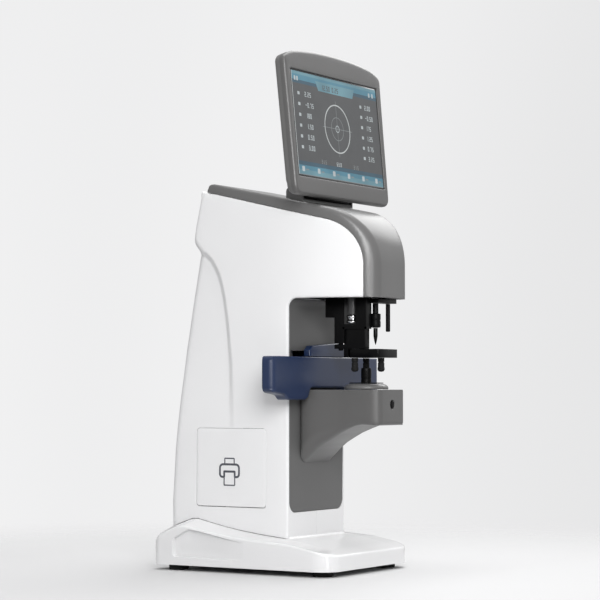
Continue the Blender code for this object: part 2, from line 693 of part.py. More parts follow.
def lens_table():
    face = [(-x, z, r) for x, z, r in reversed(TABLE_UNDER)] + TABLE_UNDER
    table = along_y(rounded(face, 3), 30, 70)
    steps = 14
    plan = []
    for k in range(steps + 1):     # bowed front edge, its middle nearest the operator
        across = 2 * k / steps - 1
        corner_r = 3.0 if k in (0, steps) else 0
        plan.append((TABLE_HALF_W * across, TABLE_FRONT + 2.3 * across ** 2, corner_r))
    plan += [(TABLE_HALF_W, 57.0, 3), (-TABLE_HALF_W, 57.0, 3)]
    common(table, up_z(rounded(plan, 3), 140, 200))
    for x0 in (-90, 24):
        pocket = box((x0, 49.5, 162.5), (x0 + 66, 60, 187.8))
        cut(table, pocket)
    for _, side in SIDES:
        centre = (side * RAIL_X, RAIL_Z)
        join(table, bar_y(6.0, centre, 49.0, 56.9))
        cut(table, bar_y(3.3, centre, 50.5, 60))
    return finish(table, "lens_table", BLUE)


def table_rail(name, side):
    rail = bar_y(RAIL_R, (side * RAIL_X, RAIL_Z), 50.8, 126)
    return finish(rail, "table_rail_" + name, STEEL)


def rail_bush(name, side):
    x = side * RAIL_X
    bush = turned_y(BUSH_PROFILE, (x, 72, RAIL_Z))
    block = box((x - 8, 74, RAIL_Z - 8), (x + 8, 86, RAIL_Z + 8))
    cut(block, bar_y(5.0, (x, RAIL_Z), 70, 95))
    finish(join(bush, block), "rail_bush_" + name, BRASS)


def pd_slider():
    slider = along_y(rounded(SLIDER_FACE, 3), 46.8, 53.8)
    tongue = box((-3, 50, 192.2), (10, 82, 194.6))
    return finish(join(slider, tongue), "pd_slider", BLUE)


def table_assembly():
    slide = pivot("table_slide", (0, TABLE_FRONT, RAIL_Z))
    ride(slide, lens_table())
    for name, side in SIDES:
        ride(slide, table_rail(name, side))
        rail_bush(name, side)
    ride(pivot("pd_slide", (11, 51.4, 193), slide), pd_slider())


# ------------------------------------------------------------------ lens presser
# Side outlines of the fixed bracket (Y, Z).
BRACKET_SIDE = [(20.9, 243.1), (20.9, 217.2), (29.3, 217.2), (29.3, 226), (38.6, 226),
                (38.6, 243.1)]
BRACKET_CHEEK = [(-3.0, 243.1), (-3.0, 217.2), (20.9, 217.2), (20.9, 202.6), (29.3, 202.6),
                 (29.3, 226), (38.6, 226), (38.6, 243.1)]
# X, Y.
CARRIAGE_PLAN = [(-14, -0.9), (-6, -0.9), (-6, 20.7), (6, 20.7), (6, 10.8), (14, 10.8),
                 (14, 30.4), (-14, 30.4)]
# X, Y, corner radius.
PRESSER_PLAN = [(-17.5, -16.8, 2), (17.5, -16.8, 2), (17.5, -6.6, 1.5), (13.5, -6.6, 0),
                (13.5, 16, 2), (-13.5, 16, 2), (-13.5, -6.6, 0), (-17.5, -6.6, 1.5)]
# Radius, Z.
PIN_PROFILE = [(0, 189.7), (2.9, 189.7), (2.9, 181.5), (3.2, 181.0), (3.2, 179.2),
               (2.2, 177.8), (0, 177.4)]
BARREL_PROFILE = [(0, 253), (4.4, 253), (4.7, 252.5), (4.7, 228.2), (3.0, 228.2),
                  (3.0, 212.4), (0, 212.4)]
COLLAR_PROFILE = [(3.2, 227.8), (5.2, 227.8), (5.8, 226.6), (4.6, 224.4), (5.8, 222.2),
                  (5.2, 220.6), (3.2, 220.6)]
# Name, centre (X, Y).
PINS = [("left", (-10, 11.6)), ("right", (10, 11.6)), ("front", (0, -9.4))]


def presser_bracket():
    bracket = across_x(BRACKET_SIDE, -14.6, 14)
    cheek = across_x(BRACKET_CHEEK, -15.8, -14.4)
    hood_front = box((-15.8, -3.0, 217.2), (-5.8, -1.4, 243.1))
    join(bracket, cheek, hood_front)
    cut(bracket, box((-17, 7.6, 219.8), (-14.2, 19.8, 250)))   # slot beside the damper
    for _, side in SIDES:
        cut(bracket, bar_z(2.5, (side * ROD_X, ROD_Y), 210, 250, 16))
    carriage_room = box((-14.4, 17, 210), (14.4, 20.95, 218))
    finish(cut(bracket, carriage_room), "presser_bracket", BLACK_METAL)


def guide_rods():
    for name, side in SIDES:
        rod = bar_z(ROD_R, (side * ROD_X, ROD_Y), 196.4, 243.0, 16)
        finish(rod, "guide_rod_" + name, BLACK_METAL)


def presser_carriage():
    carriage = up_z(CARRIAGE_PLAN, 198.0, 201.8)
    post = box((-14, -0.9, 201), (-6, 20.4, 216.6))
    front_post = box((-14, -0.9, 216), (-6.2, 3.6, 226.2))
    heel = box((-14, 16.4, 190.2), (-6, 20.7, 200))
    join(carriage, post, front_post, heel)
    for _, side in SIDES:
        cut(carriage, bar_z(2.27, (side * ROD_X, ROD_Y), 190, 230, 16))
    cut(carriage, bar_z(3.2, DAMPER, 212, 230, 16))
    return finish(carriage, "presser_carriage", BLACK_METAL)


def presser_plate():
    plate = up_z(rounded(PRESSER_PLAN, 2), 190.0, 197.5)
    eye = up_z(rectangle((-5.8, -6.2), (5.8, 11.4), 3, steps=3), 180, 200)
    return finish(cut(plate, eye), "presser_plate", BLACK_METAL)


def presser_assembly():
    presser_bracket()
    guide_rods()
    lift = pivot("presser_lift", (0, ROD_Y, 200))
    ride(lift, presser_carriage(), presser_plate(),
         finish(turned(BARREL_PROFILE, DAMPER, 20), "damper_barrel", GREY),
         finish(turned(COLLAR_PROFILE, DAMPER, 20), "damper_collar", CHROME))
    for name, centre in PINS:
        ride(lift, finish(turned(PIN_PROFILE, centre, 16), "presser_pin_" + name, RUBBER))


# ------------------------------------------------------------------ marker
# Radius, Z.
HOLDER_PROFILE = [(0, 238.3), (2.6, 238.3), (2.6, 229), (4.6, 229), (4.6, 217), (2.3, 216.6),
                  (0, 216.6)]
NEEDLE_PROFILE = [(0, 216.3), (1.9, 216.3), (1.9, 209.4), (1.3, 205.5), (0.4, 202.0), (0, 201.4)]
PEG_PROFILE = [(0, 238.3), (2.0, 238.3), (2.0, 214.2), (1.5, 213.5), (0, 213.5)]
PEG_X = 22.5


def marker_assembly():
    slide = box((-4.8, -10, 238.6), (27.4, 2.0, 242.2))
    stem = box((10, -7, 241.5), (14, -1, 276))
    holder = turned(HOLDER_PROFILE, (0, MARKER_Y), 20)
    needle = turned(NEEDLE_PROFILE, (0, MARKER_Y), 16)
    peg = turned(PEG_PROFILE, (PEG_X, MARKER_Y), 16)
    ride(pivot("marker_press", (12, -4, 250)),
         finish(join(slide, stem), "marker_slide", BLACK_METAL),
         finish(holder, "marker_holder", BLACK),
         finish(needle, "marker_needle", BLACK_METAL),
         finish(peg, "marker_peg", BLACK))


# ------------------------------------------------------------------ neck and screen
# Screen pieces are drawn upright about the hinge axis, then leaned back.
LEAN = (Matrix.Translation((0, HINGE_Y * MM, HINGE_Z * MM))
        @ Matrix.Rotation(-math.radians(TILT), 4, "X"))


def neck_cradle():
    side = [(CRADLE_FRONT, strip_line(CRADLE_FRONT) + GAP, 0),
            (CRADLE_REAR, strip_line(CRADLE_REAR) + GAP, 0),
            (CRADLE_REAR, 341.0, 3), (56.9, 341.0, 1), (CRADLE_FRONT, 330.5, 0)]
    cheek = [(CRADLE_FRONT, strip_line(CRADLE_FRONT) + 0.5, 0), (60, strip_line(60) + 0.5, 0),
             (60, 340.8, 3), (CRADLE_FRONT, 340.8, 3)]
    cradle = across_x(rounded(side, 3), -CRADLE_HALF_W, CRADLE_HALF_W)
    join(cradle, across_x(rounded(cheek, 3), -CRADLE_HALF_W, -CRADLE_INNER),
         across_x(rounded(cheek, 3), CRADLE_INNER, CRADLE_HALF_W))
    room_x = CRADLE_INNER - 0.1
    barrel_room = cylinder(5.8, (-room_x, HINGE_Y, HINGE_Z), (room_x, HINGE_Y, HINGE_Z))
    stalk_room = box((-room_x, 40, HINGE_Z), (room_x, 56.4, 360))
    finish(cut(cradle, barrel_room, stalk_room), "neck_cradle", GREY)


def finish_leaning(obj, name, mat):
    obj.data.transform(LEAN)
    return finish(obj, name, mat)


def screen_outline(inset=0.0):
    """Screen seen from the front (X, Z): crowned top, rounded corners."""
    crown = [(20, 126.1 - inset, 0), (40, 125.2 - inset, 0),
             (64 - inset / 2, 122.8 - inset, 0), (84.3 - inset, 116.9 - inset, 7)]
    foot = [(82.0 - inset, 4.6, 0), (81.6 - inset, -5.4 + inset, 8)]
    corners = [(-x, z, r) for x, z, r in reversed(crown)]
    corners += [(0, 126.3 - inset, 0)] + crown + foot
    corners += [(-x, z, r) for x, z, r in reversed(foot)]
    return rounded(corners, 4)


def display_outline(grow):
    half_w, half_h = DISPLAY_W / 2 + grow, DISPLAY_H / 2 + grow
    return rectangle((-half_w, DISPLAY_MID - half_h), (half_w, DISPLAY_MID + half_h), 1, steps=2)


def screen_bezel():
    bezel = bevel(along_y(screen_outline(), SCREEN_FACE, SCREEN_FACE + 5.2), 1.2, 2)
    opening = along_y(display_outline(0.6), -40, 0)
    room = along_y(display_outline(4.0), SCREEN_FACE + 2.4, 0)
    return finish_leaning(cut(bezel, opening, room), "screen_bezel", GREY)


def display_glass():
    glass = along_y(display_outline(0.2), SCREEN_FACE + 0.9, SCREEN_FACE + 3.4)
    module = along_y(display_outline(3.6), SCREEN_FACE + 2.7, SCREEN_FACE + 7.6)
    return finish_leaning(join(glass, module), "display_glass", SCREEN)


def screen_rear():
    rear = bevel(along_y(screen_outline(0.4), SCREEN_FACE + 5.5, SCREEN_FACE + 12.0), 2.5, 3)
    hump = along_y(rectangle((-62, 14), (62, 106), 10), SCREEN_FACE + 8, SCREEN_FACE + 15.5)
    join(rear, bevel(hump, 2.0, 2))
    room = along_y(rectangle((-79.5, 3), (79.5, 113), 5, steps=2),
                   SCREEN_FACE + 5, SCREEN_FACE + 9.5)
    hump_room = along_y(rectangle((-58, 18), (58, 102), 6, steps=2),
                        SCREEN_FACE + 9, SCREEN_FACE + 13)
    return finish_leaning(cut(rear, room, hump_room), "screen_rear_housing", GREY)


def tilt_bracket():
    drum = cylinder(5.2, (-40.9, 0, 0), (40.9, 0, 0))
    back = SCREEN_FACE + 15.8
    stalk = [(-3.2, 0), (3.0, 0), (-1.2, 14), (-1.2, 40), (back, 40), (back, 14.0), (back, 12.0)]
    return finish_leaning(join(drum, across_x(stalk, -28, 28)), "tilt_bracket", BLACK)


def screen_assembly():
    neck_cradle()
    ride(pivot("screen_tilt", (0, HINGE_Y, HINGE_Z)),
         screen_bezel(), display_glass(), screen_rear(), tilt_bracket())


# ------------------------------------------------------------------ printer behind its door
# Part of the side relief that crosses the door (Y, Z).
DOOR_RELIEF = [(190, 118), (112.6, 118), (113.7, 152.5), (190, 152.5)]


def printer_door():
    face = rectangle((DOOR_Y0, DOOR_Z0 + 0.2), (DOOR_Y1, DOOR_Z1), 3, steps=3)
    door = across_x(face, -BODY_HALF_W, -BODY_HALF_W + 2.2)
    relief = across_x(DOOR_RELIEF, -PAST_SIDE, RELIEF_DEPTH - BODY_HALF_W)
    tear_slot = box((-60, 92, 118.5), (-40, 110, 120.5))
    finish(cut(door, relief, tear_slot), "printer_door", WHITE)
    ride(pivot("door_hinge", (-49.6, (DOOR_Y0 + DOOR_Y1) / 2, 57.9)), door)


def printer_frame():
    frame = box((-46.4, 83, 64), (-4.5, 151, 112))
    room = box((-60, 86, 66.5), (-7, 148, 120))
    finish(cut(frame, room), "printer_frame", GREY_PANEL)


def paper_roll():
    centre = (ROLL_X, ROLL_Y, ROLL_Z)
    profile = [(ROLL_BORE_R, ROLL_HALF_L), (ROLL_R, ROLL_HALF_L),
               (ROLL_R, -ROLL_HALF_L), (ROLL_BORE_R, -ROLL_HALF_L)]
    roll = finish(turned_y(profile, centre, 24), "paper_roll", PAPER)
    ride(pivot("roll_turn", centre), roll)


def platen_roller():
    platen = bar_y(PLATEN_R, (PLATEN_X, PLATEN_Z), ROLL_Y - PLATEN_HALF_L,
                   ROLL_Y + PLATEN_HALF_L, 16)
    finish(platen, "platen_roller", RUBBER)
    ride(pivot("platen_turn", (PLATEN_X, ROLL_Y, PLATEN_Z)), platen)


# ------------------------------------------------------------------ electrics
# X, Z, corner radius.
SOCKET = [(-27, 61, 1), (-5, 61, 1), (-5, 72, 1), (-9, 76, 1), (-23, 76, 1), (-27, 72, 1)]
PORT_SHELL = [(-9, 86.4, 1), (9, 86.4, 1), (10, 93.6, 1), (-10, 93.6, 1)]
# Y, Z.
ROCKER_SIDE = [(184.6, 61.2), (182.2, 68.5), (182.2, 75.8), (176.0, 73.5), (176.0, 63.5)]
# Low and high corners of the blocks on the main board.
MAIN_CHIPS = [((14.5, 104, 180), (20.1, 130, 190)), ((17.5, 110, 150), (20.1, 128, 168)),
              ((17.5, 134, 110), (20.1, 146, 120)), ((14.5, 102, 104), (20.1, 124, 112))]


def rear_panel():
    face = rectangle((-REAR_PANEL_HALF_W, REAR_PANEL_Z0), (REAR_PANEL_HALF_W, REAR_PANEL_Z1),
                     2, steps=2)
    panel = along_y(face, 179.4, 181.4)
    inlet_way = box((-30, 170, 58), (-2, 190, 79))
    switch_way = box((8, 170, 58), (21, 190, 79))
    port_way = box((-17.4, 170, 85), (17.4, 190, 95))
    finish(cut(panel, inlet_way, switch_way, port_way), "rear_panel", GREY_PANEL)


def power_inlet():
    """Mains socket and switch frame in one piece, with the rocker switch."""
    inlet = box((-29.6, 166, 58.4), (-2.4, 182.2, 78.6))
    cut(inlet, along_y(rounded(SOCKET, 1), 169, 190))
    bridge = box((-4, 166, 58.4), (10, 178.9, 78.6))
    switch_frame = box((8.4, 166, 58.4), (20.6, 182.2, 78.6))
    join(inlet, bridge, switch_frame)
    switch_room = box((9.6, 172, 59.8), (19.4, 190, 77.2))
    finish(cut(inlet, switch_room), "power_inlet", BLACK)
    rocker = finish(across_x(ROCKER_SIDE, 9.9, 19.1), "power_rocker", BLACK)
    ride(pivot("rocker_turn", (14.5, 179.0, 68.5)), rocker)


def serial_port():
    port = box((-16.8, 172, 85.4), (16.8, 182.0, 94.6))
    shell = along_y(rounded(PORT_SHELL, 2), 180, 184.4)
    finish(join(port, shell), "serial_port", STEEL)


def power_supply():
    """Steel box, open underneath."""
    supply = box((8, 96, 48.4), (44, 158, 78))
    room = box((9.5, 97.5, 46), (42.5, 156.5, 76.5))
    finish(cut(supply, room), "power_supply", STEEL)


def main_board():
    board = box((20, 96, 100), (21.6, 150, 215))
    for lo, hi in MAIN_CHIPS:
        join(board, box(lo, hi))
    finish(board, "main_board", BOARD)


# ------------------------------------------------------------------ build
for build in (base_shell, base_plate, feet,
              body_shells, top_cover, front_panel, head_liner,
              frame_column, head_beam, collimator, lamp,
              arm_housing, read_button, nozzle_and_sensor,
              table_assembly, presser_assembly, marker_assembly, screen_assembly,
              printer_door, printer_frame, paper_roll, platen_roller,
              rear_panel, power_inlet, serial_port, power_supply, main_board):
    build()
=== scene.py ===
"""Finished visual model of the desk-top automatic lensmeter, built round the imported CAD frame."""

import json
import math

import bmesh
import bpy
import numpy as np
from mathutils import Matrix, Vector
from mathutils.geometry import delaunay_2d_cdt


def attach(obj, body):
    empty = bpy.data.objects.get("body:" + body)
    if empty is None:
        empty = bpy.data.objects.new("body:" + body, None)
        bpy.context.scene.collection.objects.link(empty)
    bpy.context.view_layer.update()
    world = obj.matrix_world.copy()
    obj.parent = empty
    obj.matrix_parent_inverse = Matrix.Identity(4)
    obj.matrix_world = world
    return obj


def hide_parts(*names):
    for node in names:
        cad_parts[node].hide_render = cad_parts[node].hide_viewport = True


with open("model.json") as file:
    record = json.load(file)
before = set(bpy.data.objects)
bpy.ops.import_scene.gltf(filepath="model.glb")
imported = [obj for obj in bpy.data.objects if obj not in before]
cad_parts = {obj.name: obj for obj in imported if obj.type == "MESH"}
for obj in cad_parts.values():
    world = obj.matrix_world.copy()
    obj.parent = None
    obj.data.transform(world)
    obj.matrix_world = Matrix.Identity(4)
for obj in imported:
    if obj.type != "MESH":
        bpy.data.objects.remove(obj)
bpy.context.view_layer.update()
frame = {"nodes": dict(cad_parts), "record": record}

# ------------------------------------------------------------------ dimensions (mm, drawing datum Y = 0 at the base's front edge)
MM = 0.001
Y_CENTRE = 82.65
BASE_HALF_W, BASE_REAR, BASE_UNDER = 73.5, 186.8, 5.0
SHOULDER = 50.0
BODY_HALF_W, Y_STRAIGHT, PLAN_R = 50.0, 80.0, 247.0
HEAD_FRONT, HEAD_UNDER, COLUMN_FRONT = -21.5, 242.5, 57.5
AXIS_Y = 5.8
ARM_TOP, ARM_HALF_W, ARM_FRONT = 161.7, 25.7, -21.0
NOZZLE_R, NOZZLE_TOP = 4.6, 181.0
TABLE_HALF_W, TABLE_FRONT, TABLE_TOP = 93.0, 43.5, 190.8
TILT, HINGE_Y, HINGE_Z, SCREEN_FACE = 5.518, 50.5, 334.8, -22.8
DISPLAY_W, DISPLAY_H, DISPLAY_MID = 150.7, 94.2, 58.3
DOOR = (79.6, 154.0, 57.0, 127.0)
SHIFT = Matrix.Translation((0, -Y_CENTRE * MM, 0))
LEAN = (Matrix.Translation((0, (HINGE_Y - Y_CENTRE) * MM, HINGE_Z * MM)) @ Matrix.Rotation(-math.radians(TILT), 4, "X"))


# ------------------------------------------------------------------ materials
def nodes_of(name):
    mat = bpy.data.materials.new(name)
    mat.use_nodes = True
    tree = mat.node_tree
    bsdf = tree.nodes["Principled BSDF"]
    return mat, tree, bsdf


def noise(tree, scale, detail=4.0, rough=0.5, coord=None):
    node = tree.nodes.new("ShaderNodeTexNoise")
    node.inputs["Scale"].default_value = scale
    node.inputs["Detail"].default_value = detail
    node.inputs["Roughness"].default_value = rough
    if coord is not None:
        tree.links.new(coord, node.inputs["Vector"])
    return node


def ramp(tree, source, stops):
    node = tree.nodes.new("ShaderNodeValToRGB")
    node.color_ramp.elements[0].position, node.color_ramp.elements[0].color = stops[0]
    node.color_ramp.elements[1].position, node.color_ramp.elements[1].color = stops[-1]
    for position, colour in stops[1:-1]:
        element = node.color_ramp.elements.new(position)
        element.color = colour
    tree.links.new(source, node.inputs["Fac"])
    return node


def scaled(colour, k):
    return (min(colour[0] * k, 1), min(colour[1] * k, 1), min(colour[2] * k, 1), 1.0)


def plastic(name, colour, rough, grain=2600.0, bump=0.06, vary=0.03, coat=0.0, metallic=0.0, blotch=14.0, spec=0.5):
    """Moulded plastic or paint: slow colour drift, which also spreads the roughness, and a fine spark-eroded grain in
    the bump and the colour.
    """
    mat, tree, bsdf = nodes_of(name)
    coord = tree.nodes.new("ShaderNodeTexCoord").outputs["Object"]
    drift = noise(tree, blotch, 3.0, 0.55, coord)
    tint = ramp(tree, drift.outputs["Fac"], [(0.3, scaled(colour, 1 - vary)), (0.7, scaled(colour, 1 + vary))])
    fine = noise(tree, grain, 2.0, 0.6, coord)
    mix = tree.nodes.new("ShaderNodeMix")
    mix.data_type = "RGBA"
    mix.blend_type = "MULTIPLY"
    mix.inputs["Factor"].default_value = 0.35
    tree.links.new(tint.outputs["Color"], mix.inputs["A"])
    speck = ramp(tree, fine.outputs["Fac"], [(0.3, (0.93, 0.93, 0.93, 1)), (0.7, (1, 1, 1, 1))])
    tree.links.new(speck.outputs["Color"], mix.inputs["B"])
    tree.links.new(mix.outputs["Result"], bsdf.inputs["Base Color"])
    spread = tree.nodes.new("ShaderNodeMapRange")
    spread.inputs["To Min"].default_value = max(rough - 0.05, 0.02)
    spread.inputs["To Max"].default_value = min(rough + 0.06, 1.0)
    tree.links.new(drift.outputs["Fac"], spread.inputs["Value"])
    tree.links.new(spread.outputs["Result"], bsdf.inputs["Roughness"])
    relief = tree.nodes.new("ShaderNodeBump")
    relief.inputs["Strength"].default_value = bump
    relief.inputs["Distance"].default_value = 0.0002
    tree.links.new(fine.outputs["Fac"], relief.inputs["Height"])
    tree.links.new(relief.outputs["Normal"], bsdf.inputs["Normal"])
    bsdf.inputs["Metallic"].default_value = metallic
    bsdf.inputs["Coat Weight"].default_value = coat
    bsdf.inputs["Coat Roughness"].default_value = 0.14
    bsdf.inputs["Specular IOR Level"].default_value = spec
    return mat


def metal(name, colour, rough, brushed=(1, 1, 30), bump=0.05):
    """Worked metal: streaks along one direction in roughness and bump."""
    mat, tree, bsdf = nodes_of(name)
    coord = tree.nodes.new("ShaderNodeTexCoord").outputs["Object"]
    stretch = tree.nodes.new("ShaderNodeMapping")
    stretch.inputs["Scale"].default_value = brushed
    tree.links.new(coord, stretch.inputs["Vector"])
    streak = noise(tree, 320.0, 5.0, 0.65, stretch.outputs["Vector"])
    tint = ramp(tree, streak.outputs["Fac"], [(0.25, scaled(colour, 0.86)), (0.75, scaled(colour, 1.08))])
    tree.links.new(tint.outputs["Color"], bsdf.inputs["Base Color"])
    spread = tree.nodes.new("ShaderNodeMapRange")
    spread.inputs["To Min"].default_value = max(rough - 0.06, 0.02)
    spread.inputs["To Max"].default_value = rough + 0.1
    tree.links.new(streak.outputs["Fac"], spread.inputs["Value"])
    tree.links.new(spread.outputs["Result"], bsdf.inputs["Roughness"])
    relief = tree.nodes.new("ShaderNodeBump")
    relief.inputs["Strength"].default_value = bump
    relief.inputs["Distance"].default_value = 0.0001
    tree.links.new(streak.outputs["Fac"], relief.inputs["Height"])
    tree.links.new(relief.outputs["Normal"], bsdf.inputs["Normal"])
    bsdf.inputs["Metallic"].default_value = 1.0
    return mat


WHITE = plastic("white_moulding", (0.80, 0.80, 0.805), 0.32, 2200, 0.03, 0.010, coat=0.25)
# the base is the same white moulding as the body, made darker here: painted shade for the base's less-lit sides
WHITE_BASE_SHADED = plastic("white_moulding_base_painted_shade", (0.76, 0.76, 0.765), 0.22, 2200, 0.02, 0.010, coat=0.9)
GREY = plastic("grey_moulding", (0.128, 0.127, 0.126), 0.30, 2000, 0.08, 0.03)
GREY_ARM = plastic("grey_arm_moulding", (0.102, 0.101, 0.100), 0.32, 2000, 0.10, 0.03)
GREY_PANEL = plastic("grey_panel_moulding", (0.115, 0.115, 0.114), 0.5, 1700, 0.14, 0.04)
BEZEL = plastic("bezel_moulding", (0.100, 0.099, 0.098), 0.36, 2300, 0.07, 0.03)
BLACK = plastic("black_moulding", (0.0028, 0.0028, 0.003), 0.40, 2400, 0.08, 0.10, spec=0.10)
BLACK_METAL = plastic("black_anodised", (0.0022, 0.0022, 0.0024), 0.30, 3000, 0.05, 0.12, spec=0.14)
# near-black matte liner: painted shade, standing for the shadow under the head's ceiling
DARK = plastic("liner_painted_shade", (0.003, 0.003, 0.0032), 0.6, 1800, 0.10, 0.08, spec=0.08)
BARREL = plastic("barrel_enamel", (0.055, 0.055, 0.056), 0.28, 2300, 0.05, 0.05, spec=0.5)
BLUE = plastic("blue_moulding", (0.011, 0.024, 0.070), 0.33, 2300, 0.06, 0.05, spec=0.5)
RUBBER = plastic("black_rubber", (0.008, 0.008, 0.008), 0.8, 1200, 0.25, 0.12, spec=0.25)
ICON = plastic("icon_ink", (0.085, 0.088, 0.105), 0.5, 2200, 0.03, 0.06)
STEEL = metal("ground_steel", (0.56, 0.57, 0.58), 0.28)
ALU = metal("milled_aluminium", (0.68, 0.68, 0.70), 0.36)
CHROME = metal("polished_chrome", (0.80, 0.80, 0.81), 0.07, (1, 1, 4), 0.02)
BRASS = metal("turned_brass", (0.72, 0.53, 0.22), 0.25)
PAPER = plastic("thermal_paper", (0.80, 0.80, 0.78), 0.75, 900, 0.2, 0.02)
BOARD = plastic("solder_mask", (0.012, 0.11, 0.05), 0.42, 500, 0.3, 0.2, coat=0.3)


def clear_glass(name):
    mat, tree, bsdf = nodes_of(name)
    coord = tree.nodes.new("ShaderNodeTexCoord").outputs["Object"]
    haze = noise(tree, 60.0, 3.0, 0.5, coord)
    spread = tree.nodes.new("ShaderNodeMapRange")
    spread.inputs["To Min"].default_value = 0.02
    spread.inputs["To Max"].default_value = 0.07
    tree.links.new(haze.outputs["Fac"], spread.inputs["Value"])
    tree.links.new(spread.outputs["Result"], bsdf.inputs["Roughness"])
    tint = ramp(tree, haze.outputs["Fac"], [(0.3, (0.75, 0.82, 0.88, 1)), (0.7, (0.85, 0.9, 0.95, 1))])
    tree.links.new(tint.outputs["Color"], bsdf.inputs["Base Color"])
    bsdf.inputs["Transmission Weight"].default_value = 0.9
    bsdf.inputs["IOR"].default_value = 1.5
    return mat


def lit(name, colour, strength, base=0.02, rough=0.18, second=None, axis_scale=60.0):
    """Part of the display's picture: it glows a little, with a faint pixel-scale grain."""
    mat, tree, bsdf = nodes_of(name)
    coord = tree.nodes.new("ShaderNodeTexCoord").outputs["Object"]
    drift = noise(tree, axis_scale, 2.0, 0.5, coord)
    other = second or scaled(colour, 1.12)[:3]
    tint = ramp(tree, drift.outputs["Fac"], [(0.35, (*colour, 1)), (0.65, (*other, 1))])
    tree.links.new(tint.outputs["Color"], bsdf.inputs["Emission Color"])
    bsdf.inputs["Emission Strength"].default_value = strength
    dim = ramp(tree, drift.outputs["Fac"], [(0.3, scaled(colour, base)), (0.7, scaled(colour, base * 1.3))])
    tree.links.new(dim.outputs["Color"], bsdf.inputs["Base Color"])
    spread = tree.nodes.new("ShaderNodeMapRange")
    spread.inputs["To Min"].default_value = rough - 0.04
    spread.inputs["To Max"].default_value = rough + 0.04
    tree.links.new(drift.outputs["Fac"], spread.inputs["Value"])
    tree.links.new(spread.outputs["Result"], bsdf.inputs["Roughness"])
    return mat


GLASS = clear_glass("optical_glass")


# ------------------------------------------------------------------ modelling helpers
LOOKS = bpy.data.collections.new("lensmeter_looks")
bpy.context.scene.collection.children.link(LOOKS)


def add(name, verts, faces, mat, smooth=34.0, matrix=None):
    """Vertices are in mm on the drawing datum."""
    mesh = bpy.data.meshes.new(name)
    mesh.from_pydata([(x * MM, y * MM, z * MM) for x, y, z in verts], [], faces)
    mesh.transform(SHIFT if matrix is None else matrix)
    mesh.validate()
    mesh.update()
    obj = bpy.data.objects.new(name, mesh)
    LOOKS.objects.link(obj)
    dress(obj, mat, smooth)
    return obj


def dress(obj, mat, smooth=34.0):
    obj.data.materials.clear()
    obj.data.materials.append(mat)
    obj.data.shade_smooth()
    obj.data.set_sharp_from_angle(angle=math.radians(smooth))
    return obj


def evaluated(obj):
    bpy.context.view_layer.update()
    graph = bpy.context.evaluated_depsgraph_get()
    return bpy.data.meshes.new_from_object(obj.evaluated_get(graph), depsgraph=graph)


def outward(obj):
    work = bmesh.new()
    work.from_mesh(obj.data)
    bmesh.ops.remove_doubles(work, verts=work.verts, dist=1e-6)
    bmesh.ops.recalc_face_normals(work, faces=work.faces)
    work.to_mesh(obj.data)
    work.free()
    return obj


def rounded(corners, steps=8):
    out = []
    count = len(corners)
    for i, (a, b, radius) in enumerate(corners):
        here = Vector((a, b))
        before = Vector(corners[i - 1][:2]) - here
        after = Vector(corners[(i + 1) % count][:2]) - here
        if radius <= 0 or before.length < 1e-6 or after.length < 1e-6:
            out.append((a, b))
            continue
        room = min(before.length, after.length)
        before.normalize()
        after.normalize()
        angle = before.angle(after)
        if angle > math.pi - 1e-3:
            out.append((a, b))
            continue
        radius = min(radius, room * 0.999 * math.tan(angle / 2))
        reach = radius / math.tan(angle / 2)
        centre = here + (before + after).normalized() * (radius / math.sin(angle / 2))
        start = here + before * reach - centre
        end = here + after * reach - centre
        swing = math.atan2(start.x * end.y - start.y * end.x, start.dot(end))
        for k in range(steps + 1):
            t = swing * k / steps
            out.append((centre.x + start.x * math.cos(t) - start.y * math.sin(t),
                        centre.y + start.x * math.sin(t) + start.y * math.cos(t)))
    return out


def dense(loop, step, closed=True):
    """The same polyline with no segment longer than step."""
    out = []
    n = len(loop)
    for i in range(n if closed else n - 1):
        a, b = np.array(loop[i][:2], float), np.array(loop[(i + 1) % n][:2], float)
        parts = max(1, int(math.ceil(np.linalg.norm(b - a) / step)))
        for k in range(parts):
            p = a + (b - a) * k / parts
            if not out or math.hypot(out[-1][0] - p[0], out[-1][1] - p[1]) > 1e-4:
                out.append((float(p[0]), float(p[1])))
    if not closed:
        out.append((float(loop[-1][0]), float(loop[-1][1])))
    elif math.hypot(out[-1][0] - out[0][0], out[-1][1] - out[0][1]) < 1e-4:
        out.pop()
    return out


def area(loop):
    a = np.array(loop)
    return 0.5 * float(np.sum(a[:, 0] * np.roll(a[:, 1], -1) - np.roll(a[:, 0], -1) * a[:, 1]))


def nearest(points, loop, values):
    """Distance from each point to a closed polyline, and the value interpolated there."""
    p = np.asarray(points, float)
    a = np.asarray(loop, float)
    b = np.roll(a, -1, axis=0)
    va = np.asarray(values, float)
    vb = np.roll(va, -1)
    ab = b - a
    length2 = np.maximum((ab ** 2).sum(1), 1e-12)
    dist = np.full(len(p), 1e9)
    val = np.zeros(len(p))
    for lo in range(0, len(p), 4000):
        q = p[lo:lo + 4000, None, :]
        t = np.clip(((q - a) * ab).sum(2) / length2, 0, 1)
        near = a + t[:, :, None] * ab
        d = np.sqrt(((q - near) ** 2).sum(2))
        k = d.argmin(1)
        rows = np.arange(len(k))
        dist[lo:lo + 4000] = d[rows, k]
        val[lo:lo + 4000] = va[k] + (vb[k] - va[k]) * t[rows, k]
    return dist, val


def inside(points, loop):
    p = np.asarray(points, float)
    a = np.asarray(loop, float)
    b = np.roll(a, -1, axis=0)
    hit = np.zeros(len(p), bool)
    for (x0, y0), (x1, y1) in zip(a, b):
        if y0 == y1:
            continue
        cross = ((y0 > p[:, 1]) != (y1 > p[:, 1])) & (p[:, 0] < (x1 - x0) * (p[:, 1] - y0) / (y1 - y0) + x0)
        hit ^= cross
    return hit


def fall(d, r):
    """How far an edge of radius r has dropped at distance d from the outline."""
    d, r = np.minimum(d, r), np.maximum(r, 1e-6)
    return r - np.sqrt(np.maximum(r ** 2 - (r - d) ** 2, 0))


